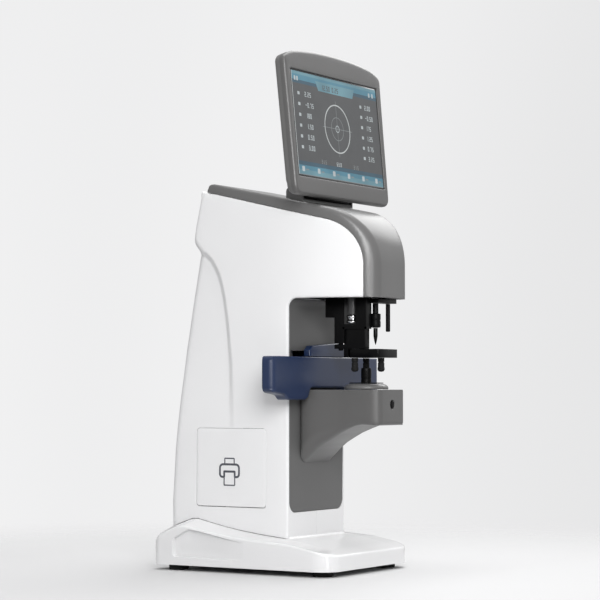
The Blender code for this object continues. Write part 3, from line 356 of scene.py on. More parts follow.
def groups_of(loops):
    """Stretches of the outlines whose fillet radius changes smoothly, each an open polyline with its radii."""
    out = []
    for loop, radii in loops:
        n = len(loop)
        jumps = [i for i in range(n) if abs(radii[i] - radii[i - 1]) > 0.45]
        if not jumps:
            out.append((np.array(list(loop) + [loop[0]]), np.array(list(radii) + [radii[0]])))
            continue
        for a, b in zip(jumps, jumps[1:] + [jumps[0] + n]):
            index = [i % n for i in range(a, b + 1)]
            values = [radii[i] for i in index]
            values[-1] = values[-2] if len(values) > 1 else values[-1]
            out.append((np.array([loop[i] for i in index]), np.array(values)))
    return [g for g in out if g[1].max() > 0.02]


def drop_at(points, groups):
    """Fall of the filleted edges at each point: the deepest of the edges near it."""
    p = np.asarray(points, float)
    drop = np.zeros(len(p))
    for line, radii in groups:
        a, b = line[:-1], line[1:]
        ab = b - a
        length2 = np.maximum((ab ** 2).sum(1), 1e-12)
        for lo in range(0, len(p), 3000):
            q = p[lo:lo + 3000, None, :]
            t = np.clip(((q - a) * ab).sum(2) / length2, 0, 1)
            d = np.sqrt(((q - a - t[:, :, None] * ab) ** 2).sum(2))
            k = d.argmin(1)
            rows = np.arange(len(k))
            r = radii[k] + (radii[k + 1] - radii[k]) * t[rows, k]
            drop[lo:lo + 3000] = np.maximum(drop[lo:lo + 3000], fall(d[rows, k], r))
    return drop


def field(loops, grid, rings=5, extra=()):
    """Points and triangles over a flat region with filleted edges.
    loops: [(points, radii)], the outline first and then holes. Returns points, triangles, the drop at each point
    and, for each loop, the indices of its points."""
    points, edges, borders = [], [], []
    for loop, radii in loops:
        start = len(points)
        points += [tuple(q) for q in loop]
        index = list(range(start, len(points)))
        borders.append(index)
        edges += [(index[i], index[(i + 1) % len(index)]) for i in range(len(index))]
    candidates, wanted = [], []
    for number, (loop, radii) in enumerate(loops):
        a = np.array(loop)
        turn = 1.0 if area(loop) > 0 else -1.0
        if number:
            turn = -turn
        tangent_in = a - np.roll(a, 1, axis=0)
        tangent_out = np.roll(a, -1, axis=0) - a
        tangent_in /= np.maximum(np.linalg.norm(tangent_in, axis=1), 1e-9)[:, None]
        tangent_out /= np.maximum(np.linalg.norm(tangent_out, axis=1), 1e-9)[:, None]
        normal = np.stack([-tangent_in[:, 1], tangent_in[:, 0]], 1) * turn + np.stack([-tangent_out[:, 1], tangent_out[:, 0]], 1) * turn
        size = np.linalg.norm(normal, axis=1)
        normal /= np.maximum(size, 1e-6)[:, None]
        stretch = 1.0 / np.clip(size / 2, 0.4, 1.0)
        r = np.array(radii, float)
        for k in range(1, rings + 1):
            d = r * (1 - math.cos(k * math.pi / 2 / rings))
            use = r > 0.05
            candidates += [tuple(q) for q in (a + normal * (d * stretch)[:, None])[use]]
            wanted += list(d[use])
    outer = np.array(loops[0][0])
    lo, hi = outer.min(0), outer.max(0)
    nx, ny = max(2, int((hi[0] - lo[0]) / grid)), max(2, int((hi[1] - lo[1]) / grid))
    for i in range(nx + 1):
        for j in range(ny + 1):
            candidates.append((lo[0] + (hi[0] - lo[0]) * i / nx, lo[1] + (hi[1] - lo[1]) * j / ny))
            wanted.append(-1.0)
    for q in extra:
        candidates.append(tuple(q))
        wanted.append(-0.5)
    cand, wanted = np.array(candidates), np.array(wanted)
    keep = inside(cand, loops[0][0])
    for loop, _ in loops[1:]:
        keep &= ~inside(cand, loop)
    cand, wanted = cand[keep], wanted[keep]
    dist = np.full(len(cand), 1e9)
    rad = np.zeros(len(cand))
    for loop, radii in loops:
        d, v = nearest(cand, loop, radii)
        better = d < dist
        dist = np.where(better, d, dist)
        rad = np.where(better, v, rad)
    ok = np.where(wanted > 0, dist > wanted * 0.97, np.where(wanted < -0.7, dist > rad + grid * 0.45, dist > rad + 0.6))
    cand = cand[ok]
    cand = cand[np.unique(np.round(cand / 0.05).astype(np.int64), axis=0, return_index=True)[1]]
    points += [tuple(q) for q in cand]
    out = delaunay_2d_cdt([Vector(q) for q in points], edges, [], 1, 1e-5)
    verts = np.array([tuple(v) for v in out[0]])
    tris = [tuple(f) for f in out[2]]
    where = {}
    for new, olds in enumerate(out[3]):
        for old in olds:
            where[old] = new
    middle = np.array([verts[list(t)].mean(0) for t in tris])
    good = inside(middle, loops[0][0])
    for loop, _ in loops[1:]:
        good &= ~inside(middle, loop)
    tris = [t if _turn(verts, t) > 0 else t[::-1] for t, g in zip(tris, good) if g]
    drop = drop_at(verts, groups_of(loops))
    borders = [[where[i] for i in index] for index in borders]
    return verts, tris, drop, borders


def _turn(verts, t):
    (ax, ay), (bx, by), (cx, cy) = verts[t[0]], verts[t[1]], verts[t[2]]
    return (bx - ax) * (cy - ay) - (by - ay) * (cx - ax)


def pad(name, loops, grid, place, top, bottom, mat, rings=5, smooth=34.0, matrix=None, extra=()):
    """Closed solid over a flat region: `top(p, drop)` and `bottom(p, drop)` give its two heights (bottom below top)
    and `place(a, b, h)` puts a point in space. Both faces share one triangulation."""
    verts, tris, drop, borders = field(loops, grid, rings, extra)
    high, low = top(verts, drop), bottom(verts, drop)
    count = len(verts)
    pts = [place(a, b, h) for (a, b), h in zip(verts, high)] + [place(a, b, h) for (a, b), h in zip(verts, low)]
    faces = [tuple(t) for t in tris] + [tuple(i + count for i in t[::-1]) for t in tris]
    for border in borders:
        for i in range(len(border)):
            a, b = border[i], border[(i + 1) % len(border)]
            faces.append((b, a, a + count, b + count))
    obj = add(name, pts, faces, mat, smooth, matrix)
    outward(obj)
    return dress(obj, mat, smooth)


def with_holes(outline, radius, holes=()):
    return [(outline, [radius] * len(outline))] + [(h, [r] * len(h)) for h, r in holes]


def turned(name, profile, centre, mat, sides=64, axis="Z", smooth=34.0, matrix=None):
    """Closed (radius, height) profile turned about an axis."""
    verts, faces = [], []
    n = len(profile)
    rows = []
    for r, h in profile:
        if r < 1e-6:
            rows.append([len(verts)])
            verts.append((0.0, 0.0, h))
        else:
            rows.append(list(range(len(verts), len(verts) + sides)))
            verts += [(r * math.cos(2 * math.pi * k / sides), r * math.sin(2 * math.pi * k / sides), h) for k in range(sides)]
    closed = profile[0][0] > 1e-6 and profile[-1][0] > 1e-6
    for i in range(n if closed else n - 1):
        a, b = rows[i], rows[(i + 1) % n]
        for k in range(sides):
            q = (k + 1) % sides
            if len(a) == 1 and len(b) == 1:
                continue
            if len(a) == 1:
                faces.append((a[0], b[k], b[q]))
            elif len(b) == 1:
                faces.append((a[k], b[0], a[q]))
            else:
                faces.append((a[k], b[k], b[q], a[q]))
    turn = {"Z": Matrix.Identity(4), "Y": Matrix.Rotation(math.pi / 2, 4, "X"), "X": Matrix.Rotation(math.pi / 2, 4, "Y")}[axis]
    move = Matrix.Translation(Vector(centre))
    pts = [tuple(move @ turn @ Vector(v)) for v in verts]
    obj = add(name, pts, faces, mat, smooth, matrix)
    outward(obj)
    return dress(obj, mat, smooth)


def soft_profile(corners, steps=4):
    """Open turned profile whose corners (r, h, fillet) are rounded; a corner with no fillet stays sharp."""
    full = [(c[0], c[1], c[2] if len(c) > 2 else 0.0) for c in corners]
    out = [full[0][:2]]
    for before, here, after in zip(full, full[1:], full[2:]):
        middle = ((before[0] + here[0]) / 2, (before[1] + here[1]) / 2, 0.0)
        beyond = ((after[0] + here[0]) / 2, (after[1] + here[1]) / 2, 0.0)
        out += rounded([middle, here, beyond], steps)[1:-1]
    out.append(full[-1][:2])
    return [q for i, q in enumerate(out) if i == 0 or math.hypot(q[0] - out[i - 1][0], q[1] - out[i - 1][1]) > 1e-4]


def block(name, loop, a0, a1, axis, mat, edge=0.4, segments=3, smooth=34.0, matrix=None, angle=30):
    """Prism over a loop; when edge is not zero, its sharp edges are bevelled."""
    n = len(loop)
    verts = []
    for h in (a0, a1):
        for a, b in loop:
            verts.append({"X": (h, a, b), "Y": (a, h, b), "Z": (a, b, h)}[axis])
    faces = [tuple(range(n)), tuple(range(n, 2 * n))]
    faces += [(i, (i + 1) % n, n + (i + 1) % n, n + i) for i in range(n)]
    obj = add(name, verts, faces, mat, smooth, matrix)
    outward(obj)
    if edge:
        soften(obj, edge, segments, angle)
    return dress(obj, mat, smooth)


def soften(obj, edge, segments=3, angle=30):
    mod = obj.modifiers.new("edges", "BEVEL")
    mod.width = edge * MM
    mod.segments = segments
    mod.limit_method = "ANGLE"
    mod.angle_limit = math.radians(angle)
    mod.harden_normals = False
    mod.use_clamp_overlap = True
    return obj


def baked(obj):
    mesh = evaluated(obj)
    obj.modifiers.clear()
    obj.data = mesh
    return obj


def boolean(obj, other, operation="DIFFERENCE"):
    mod = obj.modifiers.new("cut", "BOOLEAN")
    mod.operation = operation
    mod.solver = "EXACT"
    mod.object = other
    baked(obj)
    bpy.data.objects.remove(other, do_unlink=True)
    return obj


def joined(name, objs, mat=None):
    """Several meshes of one piece made one object, keeping each one's material."""
    first = objs[0]
    work = bmesh.new()
    mats = []
    for o in objs:
        mesh = evaluated(o) if o.modifiers else o.data
        base = len(mats)
        names = list(o.data.materials)
        before = len(work.faces)
        work.from_mesh(mesh)
        work.faces.ensure_lookup_table()
        for f in work.faces[before:]:
            f.material_index += base
        mats += names
    mesh = bpy.data.meshes.new(name)
    work.to_mesh(mesh)
    work.free()
    for m in mats:
        mesh.materials.append(m)
    obj = bpy.data.objects.new(name, mesh)
    LOOKS.objects.link(obj)
    for o in objs:
        bpy.data.objects.remove(o, do_unlink=True)
    mesh.shade_smooth()
    mesh.set_sharp_from_angle(angle=math.radians(34))
    return obj


def smoothstep(t):
    t = np.clip(t, 0, 1)
    return t * t * (3 - 2 * t)


# ------------------------------------------------------------------ the body's ruling curves
def half_width(y):
    y = np.asarray(y, float)
    drop = np.maximum(Y_STRAIGHT - y, 0)
    return BODY_HALF_W - (PLAN_R - np.sqrt(PLAN_R ** 2 - drop ** 2))


BASE_LINE = [(-5, 17.6), (0, 18.8), (15, 22.8), (40, 28.0), (60, 30.7), (83.8, 33.2), (105, 36.0), (122, 38.9), (140, 42.7), (153, 45.6), (159, 45.2),
             (170.6, 41.2), (181.7, 37.1), (186.8, 34.0), (190, 33)]
SHOULDER_DROP = [(0, 0), (40, 0.8), (61, 2.0), (84, 2.8), (105, 3.5), (140, 4.6), (153, 5.2), (170, 6.0), (187, 6.5)]


def base_line(y):
    return np.interp(y, [p[0] for p in BASE_LINE], [p[1] for p in BASE_LINE])


def shoulder(x, y):
    """Fall of the base's shoulder from the column's side out to its edge."""
    return np.interp(y, [p[0] for p in SHOULDER_DROP], [p[1] for p in SHOULDER_DROP]) * np.maximum(np.abs(x) - SHOULDER, 0) / (BASE_HALF_W - SHOULDER)


REAR = [(30, 183.2), (60.7, 183.7), (106.5, 181.2), (152, 176.7), (198, 171.2), (243.5, 163.4), (266, 159.2), (279.7, 156.7), (284, 155.6),
        (287.5, 155.5), (291, 157.4), (294.3, 159.2), (298, 159.3), (302.5, 158.4), (320.5, 154.5), (345, 149.0)]


def rear_y(z):
    return float(np.interp(z, [p[0] for p in REAR], [p[1] for p in REAR]))


def strip_line(y):
    return 331.6 + 0.2126 * (y - 62.0)


def seam_line(y):
    return 340.0 - 0.2365 * (142.0 - y)


def trace(corners, step, radius, steps=8):
    """Rounded and dense loop with the fillet radius read from `radius(a, b)` at each of its points."""
    loop = dense(rounded(corners, steps), step)
    return loop, [radius(a, b) if callable(radius) else radius for a, b in loop]


def carry(node, mat, edge=0.3, segments=2, angle=35, smooth=34.0, name=None):
    """A CAD piece taken over in shape, welded, with its sharp edges broken."""
    source = frame["nodes"][node].data
    mesh = bpy.data.meshes.new(node + "_v")
    mesh.from_pydata([tuple(v.co) for v in source.vertices], [], [tuple(p.vertices) for p in source.polygons])
    work = bmesh.new()
    work.from_mesh(mesh)
    bmesh.ops.remove_doubles(work, verts=work.verts, dist=2e-6)
    bmesh.ops.dissolve_degenerate(work, edges=work.edges, dist=1e-6)
    bmesh.ops.dissolve_limit(work, angle_limit=math.radians(0.6), verts=work.verts, edges=work.edges)
    bmesh.ops.recalc_face_normals(work, faces=work.faces)
    work.to_mesh(mesh)
    work.free()
    obj = bpy.data.objects.new(name or node + "_v", mesh)
    LOOKS.objects.link(obj)
    dress(obj, mat, smooth)
    if edge:
        soften(obj, edge, segments, angle)
        baked(obj)
        dress(obj, mat, smooth)
    return obj


BODY_OF = {n: b for b, members in frame["record"]["behaviour"]["bodies"].items() for n in members}
REPLACED = set()


def put(obj, slot, *nodes):
    """The piece stands for those CAD nodes and moves with their body; the slot argument is not used."""
    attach(obj, BODY_OF[nodes[0]])
    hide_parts(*nodes)
    REPLACED.update(nodes)
    return obj


# ------------------------------------------------------------------ base shell
def base_piece():
    loop, radii = trace([(-BASE_HALF_W, 0, 18), (BASE_HALF_W, 0, 18), (BASE_HALF_W, BASE_REAR, 9), (-BASE_HALF_W, BASE_REAR, 9)], 2.2,
                        lambda x, y: 1.5 + 0.4 * float(smoothstep(y / 60)) + 3.6 * float(smoothstep((y - 172) / 10)), 14)
    well = dense([(-40, 62), (40, 62), (40, 170), (-40, 170)], 4)
    well.reverse()
    extra = [(x, y) for y in np.arange(50, 58.6, 0.8) for x in np.arange(-52, 52.1, 2.0)]
    extra += [(x, y) for y in np.arange(146, 164, 1.2) for x in np.arange(-72, 72.1, 3.0)]
    extra += [(sx * (SHOULDER + d), y) for y in np.arange(2, 185, 2.5) for d in (-0.5, 0.0, 0.6) for sx in (-1, 1)]

    def top(p, drop):
        x, y = p[:, 0], p[:, 1]
        z = (base_line(y - 1.6) + base_line(y - 0.8) + base_line(y) + base_line(y + 0.8) + base_line(y + 1.6)) / 5 - shoulder(x, y)
        reach = 3.2
        t = np.clip(y - (COLUMN_FRONT + 0.4 - reach), 0, reach * 0.96)
        rise = reach - np.sqrt(reach ** 2 - t ** 2)
        side = 1 - smoothstep((np.abs(x) - (half_width(60) - 3.0)) / 3.0)
        return z + rise * side * np.where(y > COLUMN_FRONT + 0.6, 0.0, 1.0) - drop

    obj = pad("base_shell_v", [(loop, radii), (well, [0.0] * len(well))], 3.6, lambda a, b, h: (a, b, h), top,
              lambda p, drop: np.full(len(p), BASE_UNDER), WHITE_BASE_SHADED, 5, 50, extra=extra)
    # the underside is open: a moulded shell of even wall
    room = block("room", rounded([(-69.5, 4.5, 14), (69.5, 4.5, 14), (69.5, 182.3, 6), (-69.5, 182.3, 6)], 8), -2.0, 13.0, "Z", WHITE_BASE_SHADED, 0)
    boolean(obj, room)
    # hand grips: deep at the rear, running out to nothing forwards
    grip = [(163.9, 12.6, 3.0), (163.9, 28.2, 2.0), (147.2, 37.0, 2.0), (138, 36.0, 30), (122, 33.2, 0), (108, 30.4, 0), (82, 26.6, 0), (70, 24.6, 0), (92, 11.5, 12)]
    grip_loop = dense(rounded(grip, 8), 2.2)
    n = len(grip_loop)
    centre = np.array(grip_loop)
    inward = np.roll(centre, -1, axis=0) - np.roll(centre, 1, axis=0)
    inward /= np.linalg.norm(inward, axis=1)[:, None]
    inward = np.stack([-inward[:, 1], inward[:, 0]], 1) * (1.0 if area(grip_loop) > 0 else -1.0)

    def floor_depth(y):
        return -0.5 + 3.9 * float(smoothstep((y - 74) / 62))

    for sx in (-1, 1):
        verts, faces = [], []
        for share, step in ((None, -1.0), (0.0, -0.5), (0.25, 0.06), (0.6, 0.3), (0.88, 0.75), (1.0, 1.5)):
            for (a, b), (ia, ib) in zip(grip_loop, inward):
                depth = floor_depth(a)
                x = BASE_HALF_W + 2.5 if share is None else BASE_HALF_W + 0.3 - (depth + 0.3) * share if depth > -0.3 else BASE_HALF_W + 0.3 - share * 0.01
                verts.append((sx * x, a + ia * step, b + ib * step))
        rows = len(verts) // n
        for k in range(rows - 1):
            faces += [(k * n + i, k * n + (i + 1) % n, (k + 1) * n + (i + 1) % n, (k + 1) * n + i) for i in range(n)]
        faces.append(tuple(range(n)))
        last = [verts[(rows - 1) * n + i] for i in range(n)]
        out = delaunay_2d_cdt([Vector((v[1], v[2])) for v in last], [(i, (i + 1) % n) for i in range(n)], [], 1, 1e-5)
        back = {new: olds[0] for new, olds in enumerate(out[3]) if olds}
        faces += [tuple((rows - 1) * n + back[i] for i in t) for t in out[2] if all(i in back for i in t)]
        cutter = add("grip", verts, faces, WHITE_BASE_SHADED)
        outward(cutter)
        boolean(obj, cutter)
    return dress(obj, WHITE_BASE_SHADED, 32)


put(base_piece(), "white_shell", "base_shell")
put(carry("base_plate", STEEL, 0.2, 1), "steel", "base_plate")
for tag, x, y in (("front_left", -55, 18), ("front_right", 55, 18), ("rear_left", -60, 166), ("rear_right", 60, 166)):
    foot = turned("foot_%s_v" % tag, soft_profile([(0, 4.7), (8.2, 4.7, 0.5), (9.0, 3.9, 0.6), (9.0, 1.0, 0.5), (8.2, 0, 0.3), (6.2, 0, 0.3),
                                                   (5.8, 0.6, 0.2), (0, 0.6)], 3), (x, y, 0), RUBBER, 56)
    put(foot, "rubber", "foot_" + tag)

# ------------------------------------------------------------------ white body shells
CREASE = [(161.0, 293.2), (156.0, 292.3), (150.7, 290), (144, 287), (137.5, 281.5), (133, 275), (128.8, 267.7), (125.6, 258.6), (123.4, 249.6), (121.8, 242.3),
          (119, 224), (117, 206), (114.8, 184), (113.7, 152.5), (112.6, 125.6), (112.0, 90), (111.6, 30)]


def relief(p):
    """Shallow step in the body's side, behind a crease that runs down from the rear waist and fades out."""
    q = np.asarray(p, float)
    area_loop = CREASE + [(230, 30), (230, 293.2)]
    within = inside(q, area_loop)
    line = np.array(CREASE)
    a, b = line[:-1], line[1:]
    ab = b - a
    d = np.full(len(q), 1e9)
    for lo in range(0, len(q), 4000):
        r = q[lo:lo + 4000, None, :]
        t = np.clip(((r - a) * ab).sum(2) / (ab ** 2).sum(1), 0, 1)
        d[lo:lo + 4000] = np.sqrt(((r - a - t[:, :, None] * ab) ** 2).sum(2)).min(1)
    depth = (0.54 + 3.6 * smoothstep((q[:, 1] - 112) / 100)) * smoothstep((q[:, 1] - 40) / 60)
    return np.where(within, depth * smoothstep(d / 7.2), 0.0)


def body_corners():
    bottom = [(COLUMN_FRONT, base_line(COLUMN_FRONT) + 0.4, 0)]
    bottom += [(y, float(base_line(y)) + 0.4, 0) for y in (60, 83.8, 105, 122, 140, 153, 159, 170.6, 181.7)]
    bottom.append((rear_y(36) - 0.2, float(base_line(rear_y(36))) + 0.4, 0))
    rear = [(rear_y(z), z, 0) for z in (60.7, 84, 106.5, 129, 152, 175, 198, 221, 243.5, 255, 266)]
    rear += [(rear_y(z), z, 0) for z in np.arange(272, 300, 1.5)] + [(rear_y(z), z, 0) for z in (302.5, 311, 320.5, 331)]
    rear += [(149.6, seam_line(150) + 0.3, 2.0)]
    top = [(142, seam_line(142), 0), (-10, seam_line(-10), 41.0), (-10, HEAD_UNDER, 2.0)]
    return bottom + rear + top + [(COLUMN_FRONT, HEAD_UNDER, 8.0)]


def body_radius(y, z):
    if z < base_line(y) + 2.0:
        return 0.0
    if y > rear_y(z) - 1.2 and z < 335:
        return 7.5 - 3.5 * float(smoothstep((z - 288) / 20))
    if z > 300 and y > 141.5:
        return 2.0
    if z > seam_line(y) - 0.6 or y < -9.5 or (y < 45 and z > 250):
        return 0.55
    return 2.0


def body_shell(side):
    loop, radii = trace(body_corners(), 3.0, body_radius, 16)
    extra = []
    line = np.array(dense(CREASE, 3.0, closed=False))
    tangent = np.gradient(line, axis=0)
    tangent /= np.linalg.norm(tangent, axis=1)[:, None]
    normal = np.stack([-tangent[:, 1], tangent[:, 0]], 1)
    for off in (-1.0, 0.0, 0.9, 1.9, 3.0, 4.2, 5.4, 6.5, 7.6):
        extra += [tuple(q) for q in line + normal * off]
    extra = [q for q in extra if q[1] > 40]

    def top(p, drop):
        return half_width(p[:, 0]) - relief(p) - drop

    obj = pad("body_shell_%s_v" % side, [(loop, radii)], 5.0, lambda a, b, h: (-h, a, b), top, lambda p, drop: np.full(len(p), 0.15),
              WHITE, 5, 50, extra=extra)
    if side == "right":
        work = bmesh.new()
        work.from_mesh(obj.data)
        bmesh.ops.scale(work, vec=(-1, 1, 1), verts=work.verts)
        bmesh.ops.reverse_faces(work, faces=work.faces)
        work.to_mesh(obj.data)
        work.free()
    hollow = [(COLUMN_FRONT + 2.6, 20, 0), (179.5, 20, 0)] + [(rear_y(z) - 3.2, z, 0) for z in (60.7, 106.5, 152, 198, 243.5, 272)]
    hollow += [(152.3, 280, 0), (152.3, 294.3, 0), (147.0, 337.0, 2), (139.2, 337.0, 0), (139.2, 400, 0), (-40, 400, 0), (-40, 230, 0),
               (COLUMN_FRONT + 2.6, 230, 3)]
    def wall(p):
        deeper = 2.2 * smoothstep((p[:, 0] - 100) / 25) * smoothstep((p[:, 1] - 120) / 80)
        return 4.6 + deeper + 1.6 * smoothstep((p[:, 0] - 150) / 20) - 1.9 * smoothstep((62 - p[:, 0]) / 8) * smoothstep((p[:, 1] - 225) / 8)

    room = pad("room", [trace(hollow, 5.0, 0.0)], 8.0, lambda a, b, h: (h, a, b), lambda p, drop: half_width(p[:, 0]) - wall(p),
               lambda p, drop: -(half_width(p[:, 0]) - wall(p)), WHITE)
    boolean(obj, room)
    hole = block("panel_hole", rounded([(-46.5, 53, 10), (46.5, 53, 10), (46.5, 241.9, 0), (-46.5, 241.9, 0)], 12), 50, 61.5, "Y", WHITE, 0)
    boolean(obj, hole)
    boolean(obj, block("rear_hole", rounded([(-36.4, 49.6, 2.2), (36.4, 49.6, 2.2), (36.4, 100.4, 2.2), (-36.4, 100.4, 2.2)], 6), 170, 190, "Y", WHITE, 0))
    if side == "left":
        y0, y1, z0, z1 = DOOR
        boolean(obj, block("door_hole", rounded([(y0 - 0.28, z0 - 0.4, 3.2), (y1 + 0.28, z0 - 0.4, 3.2), (y1 + 0.28, z1 + 0.28, 3.2), (y0 - 0.28, z1 + 0.28, 3.2)], 8),
                           -60, -38, "X", WHITE, 0))
    return dress(obj, WHITE, 38)


put(body_shell("left"), "white_shell", "body_shell_left")
put(body_shell("right"), "white_shell", "body_shell_right")

# ------------------------------------------------------------------ grey strip over the top and down the head's front
def cover_piece():
    corners = [(143.2, seam_line(142) + 0.4, 0.3), (142.2, 347.4, 3.5), (136.4, strip_line(136.4) + 0.3, 2.0), (HEAD_FRONT, strip_line(HEAD_FRONT), 52.0),
               (HEAD_FRONT, HEAD_UNDER, 0.8), (-10.3, HEAD_UNDER, 0.3), (-10.3, seam_line(-10.3) + 0.3, 41.3), (142, seam_line(142) + 0.3, 0)]

    def radius(y, z):
        if z < HEAD_UNDER + 0.7:
            return 0.6
        middle = (strip_line(y) + seam_line(y)) / 2
        outer = z > middle if y > 45 else math.hypot(y - 31, z - 271.6) > 46.0 if z > 271.6 and y < 31 else (y < -16 if z <= 271.6 else z > middle)
        if not outer:
            return 0.5
        along = float(smoothstep((70 - y) / 80)) * 0.55 + 0.45 * float(smoothstep((330 - z) / 60))
        return 2.2 + 6.6 * min(along, 1.0)

    loop, radii = trace(corners, 2.2, radius, 26)
    obj = pad("top_cover_v", [(loop, radii)], 2.6, lambda a, b, h: (h, a, b), lambda p, drop: half_width(p[:, 0]) - drop,
              lambda p, drop: -(half_width(p[:, 0]) - drop), GREY, 6, 50)
    room_line = rounded([(139.5, 300, 0), (139.5, 344.2, 2), (136.4, strip_line(136.4) - 2.6, 0), (HEAD_FRONT + 2.6, strip_line(HEAD_FRONT) - 2.1, 49.4),
                         (HEAD_FRONT + 2.6, 200, 0)], 20)
    room = pad("room", [(dense(room_line, 6.0), [0.0] * len(dense(room_line, 6.0)))], 12.0, lambda a, b, h: (h, a, b),
               lambda p, drop: half_width(p[:, 0]) - 3.4 - 4.0 * smoothstep((0 - p[:, 0]) / 19), lambda p, drop: -(half_width(p[:, 0]) - 3.4 - 4.0 * smoothstep((0 - p[:, 0]) / 19)), GREY)
    boolean(obj, room)
    return dress(obj, GREY, 40)


put(cover_piece(), "grey_shell", "top_cover")


# ------------------------------------------------------------------ front panel, head liner, window
def panel_piece():
    half = 46.15
    corners = [(-half, 53.35, 9.7), (half, 53.35, 9.7), (half, HEAD_UNDER - 0.55, 0.2), (-half, HEAD_UNDER - 0.55, 0.2)]
    loop, radii = trace(corners, 3.0, lambda x, z: 0.45 if z < 230 else 0.3, 12)
    slot = dense(rounded([(-44, 190.6, 1), (44, 190.6, 1), (44, 196.2, 1), (-44, 196.2, 1)], 4), 4.0)
    slot.reverse()
    loops = [(loop, radii), (slot, [0.4] * len(slot))]
    for sx in (-1, 1):
        ring = [(sx * 36 + 4.2 * math.cos(t), 174 - 4.2 * math.sin(t)) for t in np.linspace(0, 2 * math.pi, 32, endpoint=False)]
        loops.append((ring, [0.3] * len(ring)))
    way = dense(rounded([(-20, 105, 2), (20, 105, 2), (20, 150, 2), (-20, 150, 2)], 4), 4.0)
    way.reverse()
    loops.append((way, [0.3] * len(way)))
    extra = [(x, z) for z in np.arange(233.5, 241.6, 0.7) for x in np.arange(-45, 45.1, 5)]

    def curl(z):
        t = np.clip(z - (HEAD_UNDER - 8.6), 0, 7.9)
        return 8.6 - np.sqrt(8.6 ** 2 - t ** 2)

    return pad("front_panel_v", loops, 5.0, lambda a, b, h: (a, -h, b), lambda p, drop: -COLUMN_FRONT - drop + curl(p[:, 1]) - 0.25,
               lambda p, drop: -COLUMN_FRONT - 2.3 + curl(p[:, 1]) * 0.99, GREY_PANEL, 3, 50, extra=extra)


put(panel_piece(), "grey_panel", "front_panel")
# the near-black head liner is painted shade: it stands for the shadow under the head's ceiling
put(carry("head_liner", DARK, 0.4, 2), "black_plastic", "head_liner")
put(turned("head_window_v", soft_profile([(0, 245.2), (5.9, 245.2, 0.3), (5.9, 243.6, 0.3), (0, 243.6)], 3), (0, AXIS_Y, 0), GLASS, 64), "glass", "head_window")

# ------------------------------------------------------------------ inner frame and light source
put(carry("frame_column", ALU, 0.25, 2), "aluminium", "frame_column")
put(carry("head_beam", ALU, 0.25, 2), "aluminium", "head_beam")
put(turned("collimator_tube_v", [(7.6, 279.0), (7.6, 270.4), (7.3, 270.0), (7.3, 268.6), (7.6, 268.2), (7.6, 248.3), (7.3, 248), (5.5, 248), (5.3, 248.2),
                                 (5.3, 254), (6.3, 254.2), (6.3, 279.2), (7.4, 279.2)], (0, AXIS_Y, 0), BLACK_METAL, 64), "black_anodised", "collimator_tube")
lens = [(0, 258.9)] + [(6.0 * k / 10, 258.9 - 1.6 * (k / 10) ** 2) for k in range(1, 11)] + [(6.0 * k / 10, 254.4 + 0.9 * (k / 10) ** 2) for k in range(10, 0, -1)] + [(0, 254.4)]
put(turned("collimator_lens_v", lens, (0, AXIS_Y, 0), GLASS, 64), "glass", "collimator_lens")
put(carry("lamp_board", BOARD, 0.15, 2), "circuit_board", "lamp_board")
put(carry("lamp_heatsink", ALU, 0.2, 2), "aluminium", "lamp_heatsink")


# ------------------------------------------------------------------ lower arm, button, nozzle and sensor
def arm_piece():
    under = [(ARM_FRONT, 130.2, 2.6), (-2.8, 131.0, 0), (4.3, 129.8, 0), (12.5, 126.6, 0), (20.7, 123.0, 0), (27.9, 119.0, 0), (37.5, 113.8, 0), (45, 108.6, 0),
             (COLUMN_FRONT - 0.3, 97.0, 0)]
    corners = [(ARM_FRONT, ARM_TOP, 0)] + under + [(COLUMN_FRONT - 0.3, ARM_TOP, 0)]

    def radius(y, z):
        if z > ARM_TOP - 0.2 and y > ARM_FRONT + 0.1:
            return 1.2
        if y < ARM_FRONT + 0.3:
            return 9.0
        if y > COLUMN_FRONT - 1.0:
            return 4.2
        return 4.0 + 7.0 * float(smoothstep((y - 2) / 34))

    loop, radii = trace(corners, 2.4, radius, 10)

    def spread(y):
        return ARM_HALF_W + 4.6 * smoothstep((y - 14) / 36)

    obj = pad("arm_housing_v", [(loop, radii)], 3.4, lambda a, b, h: (h, a, b), lambda p, drop: spread(p[:, 0]) - drop, lambda p, drop: -(spread(p[:, 0]) - drop),
              GREY_ARM, 6, 50)
    hollow = [(ARM_FRONT + 2.8, ARM_TOP - 2.8, 1), (ARM_FRONT + 2.8, 133.4, 1), (2, 133.8, 0), (24, 126.0, 0), (46, 113.6, 0), (60, 101, 0), (60, ARM_TOP - 2.8, 0)]
    room = block("room", rounded(hollow, 3), -ARM_HALF_W + 5.0, ARM_HALF_W - 5.0, "X", GREY_ARM, 0)
    boolean(obj, room)
    boolean(obj, turned("light_way", [(0, 150), (7, 150), (7, 170), (0, 170)], (0, AXIS_Y, 0), GREY_ARM, 48))
    boolean(obj, button_cutter())
    return dress(obj, GREY_ARM, 40)


def button_cutter():
    """Stepped way for the button, with a broken edge at the arm's face."""
    profile = [(0, 10), (3.9, 10), (3.9, 20.45), (4.6, 21.1), (4.6, 30), (0, 30)]
    verts, faces, rows = [], [], []
    sides = 48
    for r, h in profile:
        if r < 1e-6:
            rows.append([len(verts)])
            verts.append((0.0, -h, 148.6))
        else:
            rows.append(list(range(len(verts), len(verts) + sides)))
            verts += [(r * math.cos(2 * math.pi * k / sides), -h, 148.6 + r * math.sin(2 * math.pi * k / sides)) for k in range(sides)]
    for a, b in zip(rows, rows[1:]):
        for k in range(sides):
            q = (k + 1) % sides
            if len(a) == 1:
                faces.append((a[0], b[k], b[q]))
            elif len(b) == 1:
                faces.append((a[k], b[0], a[q]))
            else:
                faces.append((a[k], b[k], b[q], a[q]))
    return outward(add("button_way", verts, faces, GREY_ARM))


put(arm_piece(), "grey_shell", "arm_housing")

